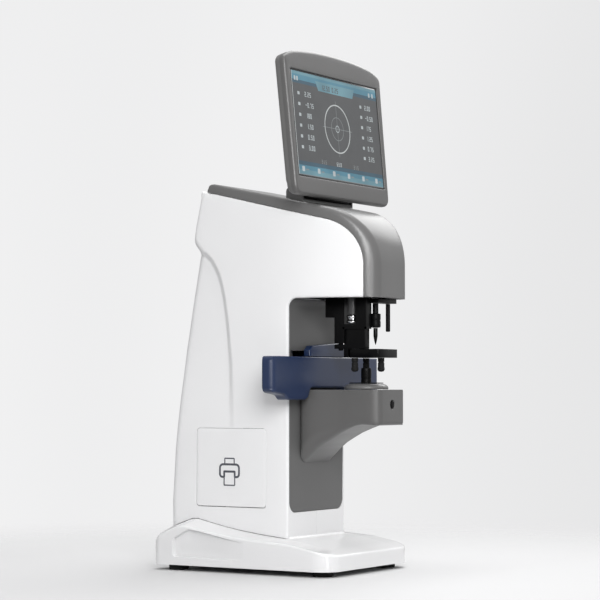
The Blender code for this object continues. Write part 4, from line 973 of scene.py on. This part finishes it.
button = turned("read_button_v", soft_profile([(0, 0.75), (2.4, 0.6, 2.0), (3.35, 0.15, 0.6), (3.55, -0.6, 0.5), (3.55, -8, 0.4), (0, -8)], 4), (0, 0, 0), BLACK, 64, "Z", 34,
                Matrix.Translation((0, (ARM_FRONT + 0.3 - Y_CENTRE) * MM, 148.6 * MM)) @ Matrix.Rotation(math.pi / 2, 4, "X"))
put(button, "black_plastic", "read_button")
put(turned("nozzle_base_v", soft_profile([(5.0, 166.9), (15.2, 166.9, 0.4), (17.6, 166.0, 2), (19.3, 164.6, 1.5), (19.8, 163.2, 0.8), (19.5, 162.0, 0.2), (5.0, 162.0)], 6),
           (0, AXIS_Y, 0), GREY, 96), "grey_shell", "nozzle_base")
put(turned("nozzle_seat_v", soft_profile([(5.0, 168.0), (8.0, 168.0, 0.1), (8.3, 167.8, 0.1), (8.8, 167.8, 0.1), (9.1, 168.0, 0.1), (14.9, 168.0, 0.3), (15.6, 167.2, 0.2), (5.0, 167.2)], 3),
           (0, AXIS_Y, 0), BLACK, 96), "black_plastic", "nozzle_seat")
put(turned("lens_nozzle_v", soft_profile([(3.4, NOZZLE_TOP - 0.1), (3.9, NOZZLE_TOP, 0.2), (4.4, NOZZLE_TOP - 0.25, 0.25), (NOZZLE_R, 178.6, 0.5), (NOZZLE_R, 172.0, 0.1), (4.35, 171.7, 0.1),
                                          (4.35, 171.2, 0.1), (NOZZLE_R, 170.9, 0.1), (NOZZLE_R, 154), (3.4, 154), (3.4, 160)], 3), (0, AXIS_Y, 0), BLACK, 64), "black_plastic", "lens_nozzle")
put(turned("sensor_tube_v", [(6.6, 153.2), (6.9, 153.5), (9.2, 153.5), (9.5, 153.2), (9.5, 149.0), (9.2, 148.7), (9.2, 147.3), (9.5, 147.0), (9.5, 139.5), (6.6, 139.5)],
           (0, AXIS_Y, 0), BLACK_METAL, 64), "black_anodised", "sensor_tube")
put(carry("sensor_board", BOARD, 0.15, 2), "circuit_board", "sensor_board")


# ------------------------------------------------------------------ lens table, rails, PD slider
def table_piece():
    half = [(-TABLE_HALF_W, TABLE_TOP, 4.2), (-TABLE_HALF_W, 159.5, 5.5), (-73, 157.0, 9), (-68, 152.8, 6), (-36.5, 152.8, 7), (-31.2, 163.2, 4)]
    corners = half + [(-x, z, r) for x, z, r in reversed(half)]

    def radius(x, z):
        if abs(x) > TABLE_HALF_W - 0.3 and z < TABLE_TOP - 1.6:
            return 5.4
        if z > TABLE_TOP - 2.0:
            return 1.3
        return 2.2

    loop, radii = trace(corners, 2.6, radius, 8)
    loops = [(loop, radii)]
    obj = pad("lens_table_v", loops, 4.0, lambda a, b, h: (a, -h, b), lambda p, drop: -(TABLE_FRONT + 2.3 * (p[:, 0] / TABLE_HALF_W) ** 2) - drop,
              lambda p, drop: -57.0 + np.minimum(drop, 1.6) * 0.6, BLUE, 6, 50)
    for sx in (-1, 1):
        x0, x1 = sorted((sx * 24.0, sx * 90.0))
        boolean(obj, block("pocket", rounded([(x0, 162.5, 2), (x1, 162.5, 2), (x1, 187.8, 2), (x0, 187.8, 2)], 5), 50.6, 62, "Y", BLUE, 0))
        boss = turned("boss", [(3.3, 49.0), (6.0, 49.0), (6.0, 56.9), (5.7, 57.2), (3.6, 57.2), (3.3, 56.9)], (0, 0, 0), BLUE, 40, "Z", 34,
                      SHIFT @ Matrix.Translation((sx * 36 * MM, 0, 174 * MM)) @ Matrix.Rotation(-math.pi / 2, 4, "X"))
        boolean(obj, boss, "UNION")
        boolean(obj, turned("bore", [(0, 51.5), (3.3, 51.5), (3.3, 60), (0, 60)], (0, 0, 0), BLUE, 40, "Z", 34,
                            SHIFT @ Matrix.Translation((sx * 36 * MM, 0, 174 * MM)) @ Matrix.Rotation(-math.pi / 2, 4, "X")))
    return dress(obj, BLUE, 40)


put(table_piece(), "blue_table", "lens_table")
for tag, sx in (("left", -1), ("right", 1)):
    rail = turned("table_rail_%s_v" % tag, soft_profile([(0, 126), (3.0, 126, 0.5), (3.0, 50.8, 0.5), (0, 50.8)], 3), (0, 0, 0), STEEL, 48, "Z", 34,
                  SHIFT @ Matrix.Translation((sx * 36 * MM, 0, 174 * MM)) @ Matrix.Rotation(-math.pi / 2, 4, "X"))
    put(rail, "steel", "table_rail_" + tag)
    put(carry("rail_bush_" + tag, BRASS, 0.25, 2), "brass", "rail_bush_" + tag)


def slider_piece():
    corners = [(-28.5, TABLE_TOP + 0.5, 0.6), (50, TABLE_TOP + 0.5, 0.6), (50, 198.4, 3), (30, 203.8, 8), (22, 203.8, 8), (-24, 200.8, 3), (-28.5, 197.0, 2)]
    loop, radii = trace(corners, 2.6, lambda x, z: 0.4 if z < TABLE_TOP + 1.0 else 1.2, 8)
    obj = pad("pd_slider_v", [(loop, radii)], 3.5, lambda a, b, h: (a, -h, b), lambda p, drop: -46.8 - 0.10 * (p[:, 1] - TABLE_TOP) - drop,
              lambda p, drop: -53.8 + drop * 0.7, BLUE, 5, 50)
    tongue = block("tongue", rounded([(-3, 50, 0), (10, 50, 0), (10, 82, 2), (-3, 82, 2)], 5), 192.2, 194.6, "Z", BLUE, 0)
    boolean(obj, tongue, "UNION")
    return dress(obj, BLUE, 40)


put(slider_piece(), "blue_table", "pd_slider")

# ------------------------------------------------------------------ lens presser
bracket = carry("presser_bracket", BLACK_METAL, 0.45, 3)
for x0, x1, y0, y1, z0, z1 in ((-15.75, -14.45, -2.95, 20.8, 215.4, 217.9), (-15.75, -14.45, 19.2, 21.6, 202.7, 217.5), (-15.75, -5.9, -2.95, -1.5, 215.4, 217.9)):
    boolean(bracket, block("lip", [(x0, z0), (x1, z0), (x1, z1), (x0, z1)], y0, y1, "Y", BLACK_METAL, 0), "UNION")
put(dress(bracket, BLACK_METAL), "black_anodised", "presser_bracket")
put(carry("presser_carriage", BLACK_METAL, 0.4, 3), "black_anodised", "presser_carriage")
put(carry("presser_plate", BLACK_METAL, 0.5, 3), "black_anodised", "presser_plate")
for tag, sx in (("left", -1), ("right", 1)):
    put(turned("guide_rod_%s_v" % tag, soft_profile([(0, 243.0), (2.2, 243.0, 0.3), (2.2, 196.4, 0.6), (0, 196.4)], 3), (sx * 10, 26, 0), BLACK_METAL, 48), "black_anodised", "guide_rod_" + tag)
for tag, x, y in (("left", -10, 11.6), ("right", 10, 11.6), ("front", 0, -9.4)):
    pin = turned("presser_pin_%s_v" % tag, soft_profile([(0, 189.7), (2.9, 189.7, 0.2), (2.9, 186.6, 0.1), (2.5, 186.3, 0.1), (2.5, 185.7, 0.1), (2.9, 185.4, 0.1), (2.9, 181.5, 0.4),
                                                         (3.2, 181.0, 0.4), (3.2, 179.2, 0.7), (2.2, 177.8, 0.6), (0, 177.4)], 4), (x, y, 0), RUBBER, 48)
    put(pin, "rubber", "presser_pin_" + tag)
put(turned("damper_barrel_v", soft_profile([(0, 253), (4.4, 253, 0.2), (4.7, 252.5, 0.2), (4.7, 228.6, 0.3), (4.4, 228.2, 0.2), (3.0, 228.2, 0.1), (3.0, 212.8, 0.3), (2.7, 212.4, 0.2), (0, 212.4)], 3),
           (-10, 13.7, 0), BARREL, 64), "grey_shell", "damper_barrel")
put(turned("damper_collar_v", soft_profile([(3.2, 227.8), (5.0, 227.8, 0.3), (5.8, 226.6, 0.8), (4.6, 224.2, 1.2), (5.8, 222.2, 0.8), (5.2, 220.6, 0.3), (3.2, 220.6), (3.2, 224)], 4),
           (-10, 13.7, 0), CHROME, 64), "chrome", "damper_collar")

# ------------------------------------------------------------------ marker
put(carry("marker_slide", BLACK_METAL, 0.4, 3), "black_anodised", "marker_slide")
put(turned("marker_holder_v", soft_profile([(0, 238.3), (2.6, 238.3, 0.1), (2.6, 229.2, 0.2), (4.3, 229.0, 0.3), (4.6, 228.4, 0.3), (4.6, 223.8, 0.1), (4.3, 223.5, 0.1), (4.3, 222.5, 0.1),
                                            (4.6, 222.2, 0.1), (4.6, 217.5, 0.4), (4.0, 216.8, 0.3), (2.3, 216.6, 0.1), (0, 216.6)], 3), (0, -3.8, 0), BLACK, 56), "black_plastic", "marker_holder")
put(turned("marker_needle_v", soft_profile([(0, 216.3), (1.9, 216.3, 0.1), (1.9, 209.4, 0.6), (1.3, 205.5, 0.8), (0.4, 202.0, 0.2), (0, 201.4)], 3), (0, -3.8, 0), BLACK_METAL, 48), "black_anodised", "marker_needle")
put(turned("marker_peg_v", soft_profile([(0, 238.3), (2.0, 238.3, 0.1), (2.0, 214.2, 0.4), (1.5, 213.5, 0.3), (0, 213.5)], 3), (22.5, -3.8, 0), BLACK, 48), "black_plastic", "marker_peg")

# ------------------------------------------------------------------ neck and screen
put(carry("neck_cradle", GREY, 0.9, 4), "grey_shell", "neck_cradle")
put(carry("tilt_bracket", BLACK, 0.6, 3), "black_plastic", "tilt_bracket")


def window(grow, r=1.6):
    w, h = DISPLAY_W / 2 + grow, DISPLAY_H / 2 + grow
    return rounded([(-w, DISPLAY_MID - h, r), (w, DISPLAY_MID - h, r), (w, DISPLAY_MID + h, r), (-w, DISPLAY_MID + h, r)], 5)


def arched(inset=0.0):
    """Screen outline: straight sides, rounded bottom corners and a long arched top edge."""
    pts = []
    for k in range(41):
        x = (84.3 - inset) * (2 * k / 40 - 1)
        t = abs(x) / 84.3
        z = 126.4 - inset - 3.6 * (min(t, 0.76) / 0.76) ** 2.2 - (6.0 * ((t - 0.76) / 0.24) ** 1.35 if t > 0.76 else 0)
        pts.append((x, z, 0.0))
    pts[0] = (pts[0][0], pts[0][1] - 0.4, 7.0)
    pts[-1] = (pts[-1][0], pts[-1][1] - 0.4, 7.0)
    keep = [q for q in pts[1:-1] if abs(q[0]) < 84.3 - inset - 7.5]
    return [pts[0]] + keep + [pts[-1], (82.0 - inset, 4.6, 0), (81.6 - inset, -5.4 + inset, 8), (-81.6 + inset, -5.4 + inset, 8), (-82.0 + inset, 4.6, 0)]


def bezel_piece():
    loop, radii = trace(arched(), 3.2, 2.6, 10)
    hole = dense(window(0.6), 3.2)
    hole.reverse()
    obj = pad("screen_bezel_v", [(loop, radii), (hole, [0.9] * len(hole))], 3.6, lambda a, b, h: (a, -h, b), lambda p, drop: -SCREEN_FACE - drop,
              lambda p, drop: np.full(len(p), -SCREEN_FACE - 5.2), BEZEL, 6, 50, matrix=LEAN)
    room = block("room", window(4.0, 2), SCREEN_FACE + 2.4, SCREEN_FACE + 9, "Y", BEZEL, 0, matrix=LEAN)
    boolean(obj, room)
    return dress(obj, BEZEL, 40)


put(bezel_piece(), "grey_shell", "screen_bezel")


def rear_piece():
    def radius(x, z):
        return 5.6 if z < 3 else 4.0

    loop, radii = trace(arched(0.4), 3.2, radius, 10)
    extra = [(x, z) for x in np.arange(-68, 68.1, 1.6) for z in (9, 10.5, 12, 13.5, 15, 16.5, 18, 102, 103.5, 105, 106.5, 108, 109.5, 111)]
    extra += [(sx * x, z) for z in np.arange(8, 112, 2.4) for x in (57, 58.5, 60, 61.5, 63, 64.5, 66) for sx in (-1, 1)]

    def hump(p):
        loop2 = dense(rounded([(-66, 10, 12), (66, 10, 12), (66, 110, 12), (-66, 110, 12)], 8), 3.0)
        d, _ = nearest(p, loop2, [0.0] * len(loop2))
        return np.where(inside(p, loop2), 3.5 * smoothstep(d / 5.0), 0.0)

    obj = pad("screen_rear_housing_v", [(loop, radii)], 4.5, lambda a, b, h: (a, h, b), lambda p, drop: SCREEN_FACE + 12.0 - drop + hump(p),
              lambda p, drop: np.full(len(p), SCREEN_FACE + 5.5), GREY, 6, 50, matrix=LEAN, extra=extra)
    boolean(obj, block("room", rounded([(-79.0, 3.5, 5), (79.0, 3.5, 5), (79.0, 112.5, 5), (-79.0, 112.5, 5)], 4), SCREEN_FACE + 5, SCREEN_FACE + 8.6, "Y", GREY, 0, matrix=LEAN))
    boolean(obj, block("room", rounded([(-57, 20, 6), (57, 20, 6), (57, 100, 6), (-57, 100, 6)], 4), SCREEN_FACE + 8, SCREEN_FACE + 12.6, "Y", GREY, 0, matrix=LEAN))
    for row in range(7):
        z = 78 + 3.4 * row
        boolean(obj, block("vent", rounded([(-34, z, 0.75), (34, z, 0.75), (34, z + 1.6, 0.75), (-34, z + 1.6, 0.75)], 4), SCREEN_FACE + 11, SCREEN_FACE + 18, "Y", GREY, 0, matrix=LEAN))
    return dress(obj, GREY, 40)


put(rear_piece(), "grey_shell", "screen_rear_housing")

# ------------------------------------------------------------------ the display and what it shows
UI_BACK = lit("display_ground", (0.038, 0.040, 0.042), 1.0, 0.30, rough=0.3)
UI_BAR_DARK = lit("display_bar_dark", (0.012, 0.045, 0.070), 1.0, 0.3, rough=0.3, second=(0.02, 0.06, 0.09), axis_scale=30)
UI_BAR = lit("display_bar", (0.03, 0.12, 0.17), 1.0, 0.3, rough=0.3, second=(0.05, 0.16, 0.22), axis_scale=30)
UI_BAR_LIGHT = lit("display_bar_light", (0.062, 0.145, 0.18), 1.0, 0.3, rough=0.3, second=(0.10, 0.21, 0.25), axis_scale=30)
UI_MARK = lit("display_marks", (0.30, 0.33, 0.34), 1.0, 0.2, rough=0.3)
UI_DIM = lit("display_dim_marks", (0.14, 0.155, 0.16), 1.0, 0.2, rough=0.3)
UI_RING = lit("display_ring", (0.34, 0.36, 0.36), 1.0, 0.2, rough=0.3)
DISPLAY_BLACK = plastic("display_border", (0.006, 0.006, 0.007), 0.12, 1500, 0.01, 0.1, coat=0.5)


def tile(a0, a1, b0, b1, mat, level=0.05, r=0.0, skew=0.0):
    """Thin raised patch of the picture, in display coordinates (mm from the display's centre)."""
    corners = [(a0 + skew, DISPLAY_MID + b0, r), (a1 - skew, DISPLAY_MID + b0, r), (a1, DISPLAY_MID + b1, r), (a0, DISPLAY_MID + b1, r)]
    face = SCREEN_FACE + 0.9
    return block("tile", rounded(corners, 4) if r else [c[:2] for c in corners], face - level, face + 0.02, "Y", mat, 0, matrix=LEAN)


def annulus(ca, cb, r0, r1, mat, level=0.06, squash=1.0, sides=96):
    face = SCREEN_FACE + 0.9
    verts, faces = [], []
    for r, h in ((r1, face - level), (r0, face - level), (r0, face + 0.02), (r1, face + 0.02)):
        verts += [(ca + r * math.cos(2 * math.pi * k / sides), h, DISPLAY_MID + cb + squash * r * math.sin(2 * math.pi * k / sides)) for k in range(sides)]
    for ring in range(4):
        for k in range(sides):
            q = (k + 1) % sides
            nxt = (ring + 1) % 4
            faces.append((ring * sides + k, ring * sides + q, nxt * sides + q, nxt * sides + k))
    obj = add("ring", verts, faces, mat, matrix=LEAN)
    return dress(outward(obj), mat)


def figure(a, b, size, value, mat, level=0.06):
    """One seven-bar digit."""
    w, h, t = size * 0.52, size, size * 0.16
    bars = {"a": (0, w, h - t, h), "b": (w - t, w, h / 2, h), "c": (w - t, w, 0, h / 2), "d": (0, w, 0, t), "e": (0, t, 0, h / 2), "f": (0, t, h / 2, h),
            "g": (0, w, h / 2 - t / 2, h / 2 + t / 2)}
    lit_bars = {"0": "abcdef", "1": "bc", "2": "abged", "3": "abgcd", "4": "fgbc", "5": "afgcd", "6": "afgedc", "7": "abc", "8": "abcdefg", "9": "abfgcd", "-": "g"}
    return [tile(a + bars[k][0], a + bars[k][1], b + bars[k][2], b + bars[k][3], mat, level) for k in lit_bars[value]]


def number(a, b, size, text, mat):
    out = []
    for ch in text:
        if ch == ".":
            out.append(tile(a, a + size * 0.16, b, b + size * 0.16, mat, 0.06))
            a += size * 0.34
        elif ch == " ":
            a += size * 0.6
        else:
            out += figure(a, b, size, ch, mat)
            a += size * 0.74
    return out


def display_piece():
    parts = [block("glass", window(0.2, 1.0), SCREEN_FACE + 0.9, SCREEN_FACE + 3.4, "Y", DISPLAY_BLACK, 0.25, matrix=LEAN),
             block("module", window(3.4, 1.5), SCREEN_FACE + 2.8, SCREEN_FACE + 7.6, "Y", DISPLAY_BLACK, 0.3, matrix=LEAN)]
    w, h = DISPLAY_W / 2 - 1.2, DISPLAY_H / 2 - 1.0
    parts.append(tile(-w, w, -h, h, UI_BACK, 0.03))
    # top bar: graded strips, a lighter tab in the middle and small marks
    parts += [tile(-w, w, h - 2.6, h, UI_BAR_LIGHT, 0.04), tile(-w, w, h - 7.5, h - 2.6, UI_BAR, 0.04), tile(-w, w, h - 10.5, h - 7.5, UI_BAR_DARK, 0.04)]
    parts += [tile(-34, 34, h - 13.5, h - 5.0, UI_BAR_LIGHT, 0.05, 0, 4.0)]
    parts += number(-24, h - 12.0, 4.6, "12.50 0.25", UI_BACK)
    for k, x in enumerate((-70, -66, 60, 66)):
        parts.append(tile(x, x + 2.6, h - 8.4, h - 4.4, UI_MARK, 0.06, 0.6))
    # bottom bar; the two thin strips along the left and bottom edges are a painted highlight of the glass edge
    parts += [tile(-w, w, -h, -h + 4.6, UI_BAR_LIGHT, 0.04), tile(-w, w, -h + 4.6, -h + 8.6, UI_BAR, 0.04), tile(-w, w, -h + 8.6, -h + 12.2, UI_BAR_DARK, 0.04),
              tile(-w, -w + 0.7, -h, h, UI_RING, 0.05), tile(-w, w, -h, -h + 0.5, UI_DIM, 0.05)]
    for x in (-66, -40, -14, 12, 38, 62):
        parts.append(tile(x - 2.2, x + 2.2, -h + 3.0, -h + 7.6, UI_MARK, 0.06, 1.0))
        parts.append(tile(x + 4.0, x + 9.0, -h + 4.6, -h + 5.6, UI_DIM, 0.06))
    # columns of readings
    left = ["2.25", "-0.75", "180", "1.50", "0.50", "3.00"]
    for k, text in enumerate(left):
        z = 24.5 - 9.6 * k
        parts.append(tile(-66, -62.5, z + 0.8, z + 3.6, UI_MARK, 0.06, 0.5))
        parts += number(-54, z, 4.4, text, UI_MARK)
    for k, text in enumerate(["2.00", "-0.50", "175", "1.25", "0.75", "3.25"]):
        z = 24.5 - 9.6 * k
        parts.append(tile(42, 45.5, z + 0.8, z + 3.6, UI_MARK, 0.06, 0.5))
        parts += number(51, z, 4.4, text, UI_MARK)
    parts += number(-34, -33.5, 3.6, "31.5", UI_DIM) + number(-8, -33.5, 3.6, "63.0", UI_MARK) + number(22, -33.5, 3.6, "31.5", UI_DIM)
    # target
    parts += [annulus(-1.5, 1.0, 21.2, 22.3, UI_RING), annulus(-1.5, 1.0, 10.2, 10.8, UI_DIM), annulus(-1.5, 1.0, 2.6, 3.3, UI_MARK, 0.07)]
    parts += [tile(-27, 24, 0.75, 1.25, UI_DIM, 0.05), tile(-1.75, -1.25, -24.5, 26.5, UI_DIM, 0.05)]
    return joined("display_glass_v", parts)


put(display_piece(), "display", "display_glass")


# ------------------------------------------------------------------ printer behind its door
def door_piece():
    y0, y1, z0, z1 = DOOR
    loop, radii = trace([(y0, z0 + 0.2, 3), (y1, z0 + 0.2, 3), (y1, z1, 3), (y0, z1, 3)], 3.0, 0.35, 8)
    slot = dense(rounded([(92, 118.5, 0.9), (110, 118.5, 0.9), (110, 120.5, 0.9), (92, 120.5, 0.9)], 5), 2.0)
    obj = pad("door", [(loop, radii)], 4.5, lambda a, b, h: (-h, a, b),
              lambda p, drop: half_width(p[:, 0]) - relief(p) - drop, lambda p, drop: half_width(p[:, 0]) - relief(p) - 2.0, WHITE, 3, 50)
    parts = [obj]
    # the pictogram of a printer stands a hair proud of the door
    def line(points, width, closed=True):
        loop_out, n = [], len(points)
        inner = []
        for i in range(n):
            a, b, c = (Vector(points[i - 1]), Vector(points[i]), Vector(points[(i + 1) % n]))
            t0, t1 = (b - a).normalized(), (c - b).normalized()
            normal = (Vector((-t0.y, t0.x)) + Vector((-t1.y, t1.x))).normalized()
            reach = width / 2 / max(normal.dot(Vector((-t0.y, t0.x))), 0.4)
            loop_out.append(b + normal * reach)
            inner.append(b - normal * reach)
        verts, faces = [], []
        for ring, lift in ((loop_out, 0.0), (inner, 0.0), (inner, 0.6), (loop_out, 0.6)):
            for q in ring:
                x = float(half_width(q.x)) - float(relief([(q.x, q.y)])[0])
                verts.append((-(x + 0.09 - lift), q.x, q.y))
        for r in range(4):
            for k in range(n):
                q, nr = (k + 1) % n, (r + 1) % 4
                faces.append((r * n + k, r * n + q, nr * n + q, nr * n + k))
        return dress(outward(add("icon", verts, faces, ICON)), ICON)

    cy, cz = ICON_AT
    parts.append(line(dense(rounded([(cy - 5.8, cz - 4.6, 0.6), (cy - 10.4, cz - 4.6, 2.6), (cy - 10.4, cz + 6.6, 3.2), (cy + 10.4, cz + 6.6, 3.2), (cy + 10.4, cz - 4.6, 2.6),
                                     (cy + 5.8, cz - 4.6, 0.6), (cy + 5.8, cz + 0.2, 0.3), (cy - 5.8, cz + 0.2, 0.3)], 5), 1.5), 1.9))
    parts.append(line(dense(rounded([(cy - 5.8, cz - 12.0, 0.5), (cy + 5.8, cz - 12.0, 0.5), (cy + 5.8, cz + 0.2, 0.3), (cy - 5.8, cz + 0.2, 0.3)], 5), 1.5), 1.15))
    parts.append(line(dense(rounded([(cy - 5.2, cz + 6.6, 0.3), (cy + 5.2, cz + 6.6, 0.3), (cy + 5.2, cz + 12.0, 0.5), (cy - 5.2, cz + 12.0, 0.5)], 5), 1.5), 1.15))
    return joined("printer_door_v", parts)


ICON_AT = (118.6, 88.2)
put(door_piece(), "white_shell", "printer_door")
put(carry("printer_frame", GREY_PANEL, 0.35, 2), "grey_panel", "printer_frame")
roll = turned("paper_roll_v", [(6.2, 29)] + [(6.5 + 1.2 * k, 29 - 0.12 * (k % 2)) for k in range(10)] + [(18.3, 28.9), (18.5, 28.6), (18.5, -28.6), (18.3, -28.9)] +
              [(17.3 - 1.2 * k, -29 + 0.12 * (k % 2)) for k in range(10)] + [(6.2, -29)], (0, 0, 0), PAPER, 72, "Z", 34,
              SHIFT @ Matrix.Translation((-26.5 * MM, 117 * MM, 88 * MM)) @ Matrix.Rotation(math.pi / 2, 4, "X"))
put(roll, "paper", "paper_roll")
platen = turned("platen_roller_v", soft_profile([(0, -29.8), (2.2, -29.8, 0.1), (2.2, -28.4, 0.1), (4.7, -28.4, 0.2), (5.0, -28.0, 0.2), (5.0, 28.0, 0.2), (4.7, 28.4, 0.2), (2.2, 28.4, 0.1), (2.2, 29.8, 0.1), (0, 29.8)], 3),
                (0, 0, 0), RUBBER, 56, "Z", 34, SHIFT @ Matrix.Translation((-40 * MM, 117 * MM, 115.6 * MM)) @ Matrix.Rotation(math.pi / 2, 4, "X"))
put(platen, "rubber", "platen_roller")

# ------------------------------------------------------------------ electrics and the rear
put(carry("rear_panel", GREY_PANEL, 0.3, 3), "grey_panel", "rear_panel")
put(carry("power_inlet", BLACK, 0.35, 2), "black_plastic", "power_inlet")
put(carry("power_rocker", BLACK, 0.5, 3, 20), "black_plastic", "power_rocker")
put(carry("serial_port", STEEL, 0.35, 2), "steel", "serial_port")
put(carry("power_supply", STEEL, 0.4, 2), "steel", "power_supply")
put(carry("main_board", BOARD, 0.2, 2), "circuit_board", "main_board")

missing = sorted(set(BODY_OF) - REPLACED)
if missing:
    raise RuntimeError("pieces left as they are: %s" % missing)


# ------------------------------------------------------------------ studio: pale floor and air, soft light, camera
def floor_piece():
    """Pale studio floor that thins out with distance, so that it has no horizon against the air behind."""
    mat, tree, bsdf = nodes_of("studio_floor")
    coord = tree.nodes.new("ShaderNodeTexCoord").outputs["Object"]
    drift = noise(tree, 0.9, 1.0, 0.5, coord)
    tint = ramp(tree, drift.outputs["Fac"], [(0.3, (0.57, 0.57, 0.573, 1)), (0.7, (0.59, 0.59, 0.593, 1))])
    tree.links.new(tint.outputs["Color"], bsdf.inputs["Base Color"])
    bsdf.inputs["Roughness"].default_value = 0.65
    bsdf.inputs["Specular IOR Level"].default_value = 0.25
    reach = tree.nodes.new("ShaderNodeVectorMath")
    reach.operation = "LENGTH"
    tree.links.new(coord, reach.inputs[0])
    fade = tree.nodes.new("ShaderNodeMapRange")
    fade.interpolation_type = "SMOOTHSTEP"
    fade.inputs["From Min"].default_value = 0.15
    fade.inputs["From Max"].default_value = 0.75
    fade.inputs["To Min"].default_value = 1.0
    fade.inputs["To Max"].default_value = 0.0
    tree.links.new(reach.outputs["Value"], fade.inputs["Value"])
    tree.links.new(fade.outputs["Result"], bsdf.inputs["Alpha"])
    mesh = bpy.data.meshes.new("studio_floor")
    size = 0.85
    mesh.from_pydata([(size * math.cos(t), size * math.sin(t), 0) for t in np.linspace(0, 2 * math.pi, 96, endpoint=False)], [], [tuple(range(96))])
    obj = bpy.data.objects.new("studio_floor", mesh)
    bpy.context.scene.collection.objects.link(obj)
    mesh.materials.append(mat)
    return obj


floor_piece()


def area_light(name, at, aim, size, power, colour=(1, 1, 1)):
    data = bpy.data.lights.new(name, "AREA")
    data.shape = "RECTANGLE"
    data.size, data.size_y = size
    data.energy = power
    data.color = colour
    obj = bpy.data.objects.new(name, data)
    bpy.context.scene.collection.objects.link(obj)
    obj.location = at
    obj.rotation_euler = (Vector(aim) - Vector(at)).to_track_quat("-Z", "Y").to_euler()
    return obj


area_light("softbox_top", (0.0, -0.10, 1.5), (0, -0.05, 0.1), (0.8, 0.8), 12)
area_light("softbox_right", (0.85, 0.0, 1.05), (0, -0.06, 0.04), (0.9, 0.9), 8)
area_light("softbox_left", (-0.80, -0.66, 0.55), (0, -0.16, 0.30), (0.45, 0.45), 3.15).data.spread = math.radians(110)
for strip in (area_light("strip_front", (-0.86, -1.45, 0.40), (0, -0.05, 0.2), (0.14, 1.2), 4.6),
              area_light("strip_front_right", (1.35, -0.95, 0.45), (0, -0.05, 0.2), (0.5, 0.9), 0.7)):
    strip.visible_diffuse = False

world = bpy.data.worlds.new("studio_air")
bpy.context.scene.world = world
world.use_nodes = True
tree = world.node_tree
back = tree.nodes["Background"]
coord = tree.nodes.new("ShaderNodeTexCoord")


def along(axis, stops, low=-1.0, high=1.0):
    """Tone of the air by direction: a ramp over how far a ray points along one axis."""
    dot = tree.nodes.new("ShaderNodeVectorMath")
    dot.operation = "DOT_PRODUCT"
    dot.inputs[1].default_value = axis
    tree.links.new(coord.outputs["Generated"], dot.inputs[0])
    spread = tree.nodes.new("ShaderNodeMapRange")
    spread.inputs["From Min"].default_value = low
    spread.inputs["From Max"].default_value = high
    tree.links.new(dot.outputs["Value"], spread.inputs["Value"])
    return ramp(tree, spread.outputs["Result"], [(at, (tone, tone, tone * 1.004, 1)) for at, tone in stops]).outputs["Color"]


def blended(kind, one, two, factor=1.0):
    node = tree.nodes.new("ShaderNodeMix")
    node.data_type = "RGBA"
    node.blend_type = kind
    if isinstance(factor, float):
        node.inputs["Factor"].default_value = factor
    else:
        tree.links.new(factor, node.inputs["Factor"])
    tree.links.new(one, node.inputs[6])
    tree.links.new(two, node.inputs[7])
    return node.outputs[2]


# what lights the piece: dim towards the left rear, brighter towards the right front and overhead
room = blended("MULTIPLY", along((0.80, -0.55, 0.0), [(0.0, 0.52), (0.5, 0.52), (0.85, 0.56), (1.0, 0.60)]), along((0, 0, 1), [(0.2, 0.45), (0.5, 0.85), (0.6, 1.0), (1.0, 1.0)]))
# what is seen behind it: a pale wall with faint slanting streaks of painted light, and its light painted falling off
# towards the right
streak_map = tree.nodes.new("ShaderNodeMapping")
streak_map.inputs["Rotation"].default_value = (0.35, 0.9, 0.2)
streak_map.inputs["Scale"].default_value = (9.0, 0.7, 0.7)
tree.links.new(coord.outputs["Generated"], streak_map.inputs["Vector"])
streaks = noise(tree, 1.1, 1.0, 0.4, streak_map.outputs["Vector"])
tone = ramp(tree, streaks.outputs["Fac"], [(0.30, (0.93, 0.93, 0.932, 1)), (0.70, (1.0, 1.0, 1.002, 1))]).outputs["Color"]
wall = blended("MULTIPLY", along((0.527, -0.85, 0.0), [(0.0, 0.905), (1.0, 0.845)], -0.15, 0.15), tone)
path = tree.nodes.new("ShaderNodeLightPath")
tree.links.new(blended("MIX", room, wall, path.outputs["Is Camera Ray"]), back.inputs["Color"])
back.inputs["Strength"].default_value = 1.0

camera_data = bpy.data.cameras.new("product_camera")
camera_data.sensor_width = 36.0
camera_data.lens = 123.29
camera_data.clip_start, camera_data.clip_end = 0.05, 60
camera = bpy.data.objects.new("product_camera", camera_data)
bpy.context.scene.collection.objects.link(camera)
camera.location = (-1.5848, -0.99025, 0.161)
lift = math.radians(2.52)
heading = Vector((0.8499, 0.5270, 0.0)).normalized()
camera.rotation_euler = (heading * math.cos(lift) + Vector((0, 0, math.sin(lift)))).to_track_quat("-Z", "Y").to_euler()
bpy.context.scene.camera = camera
bpy.context.scene.view_settings.view_transform = "Standard"
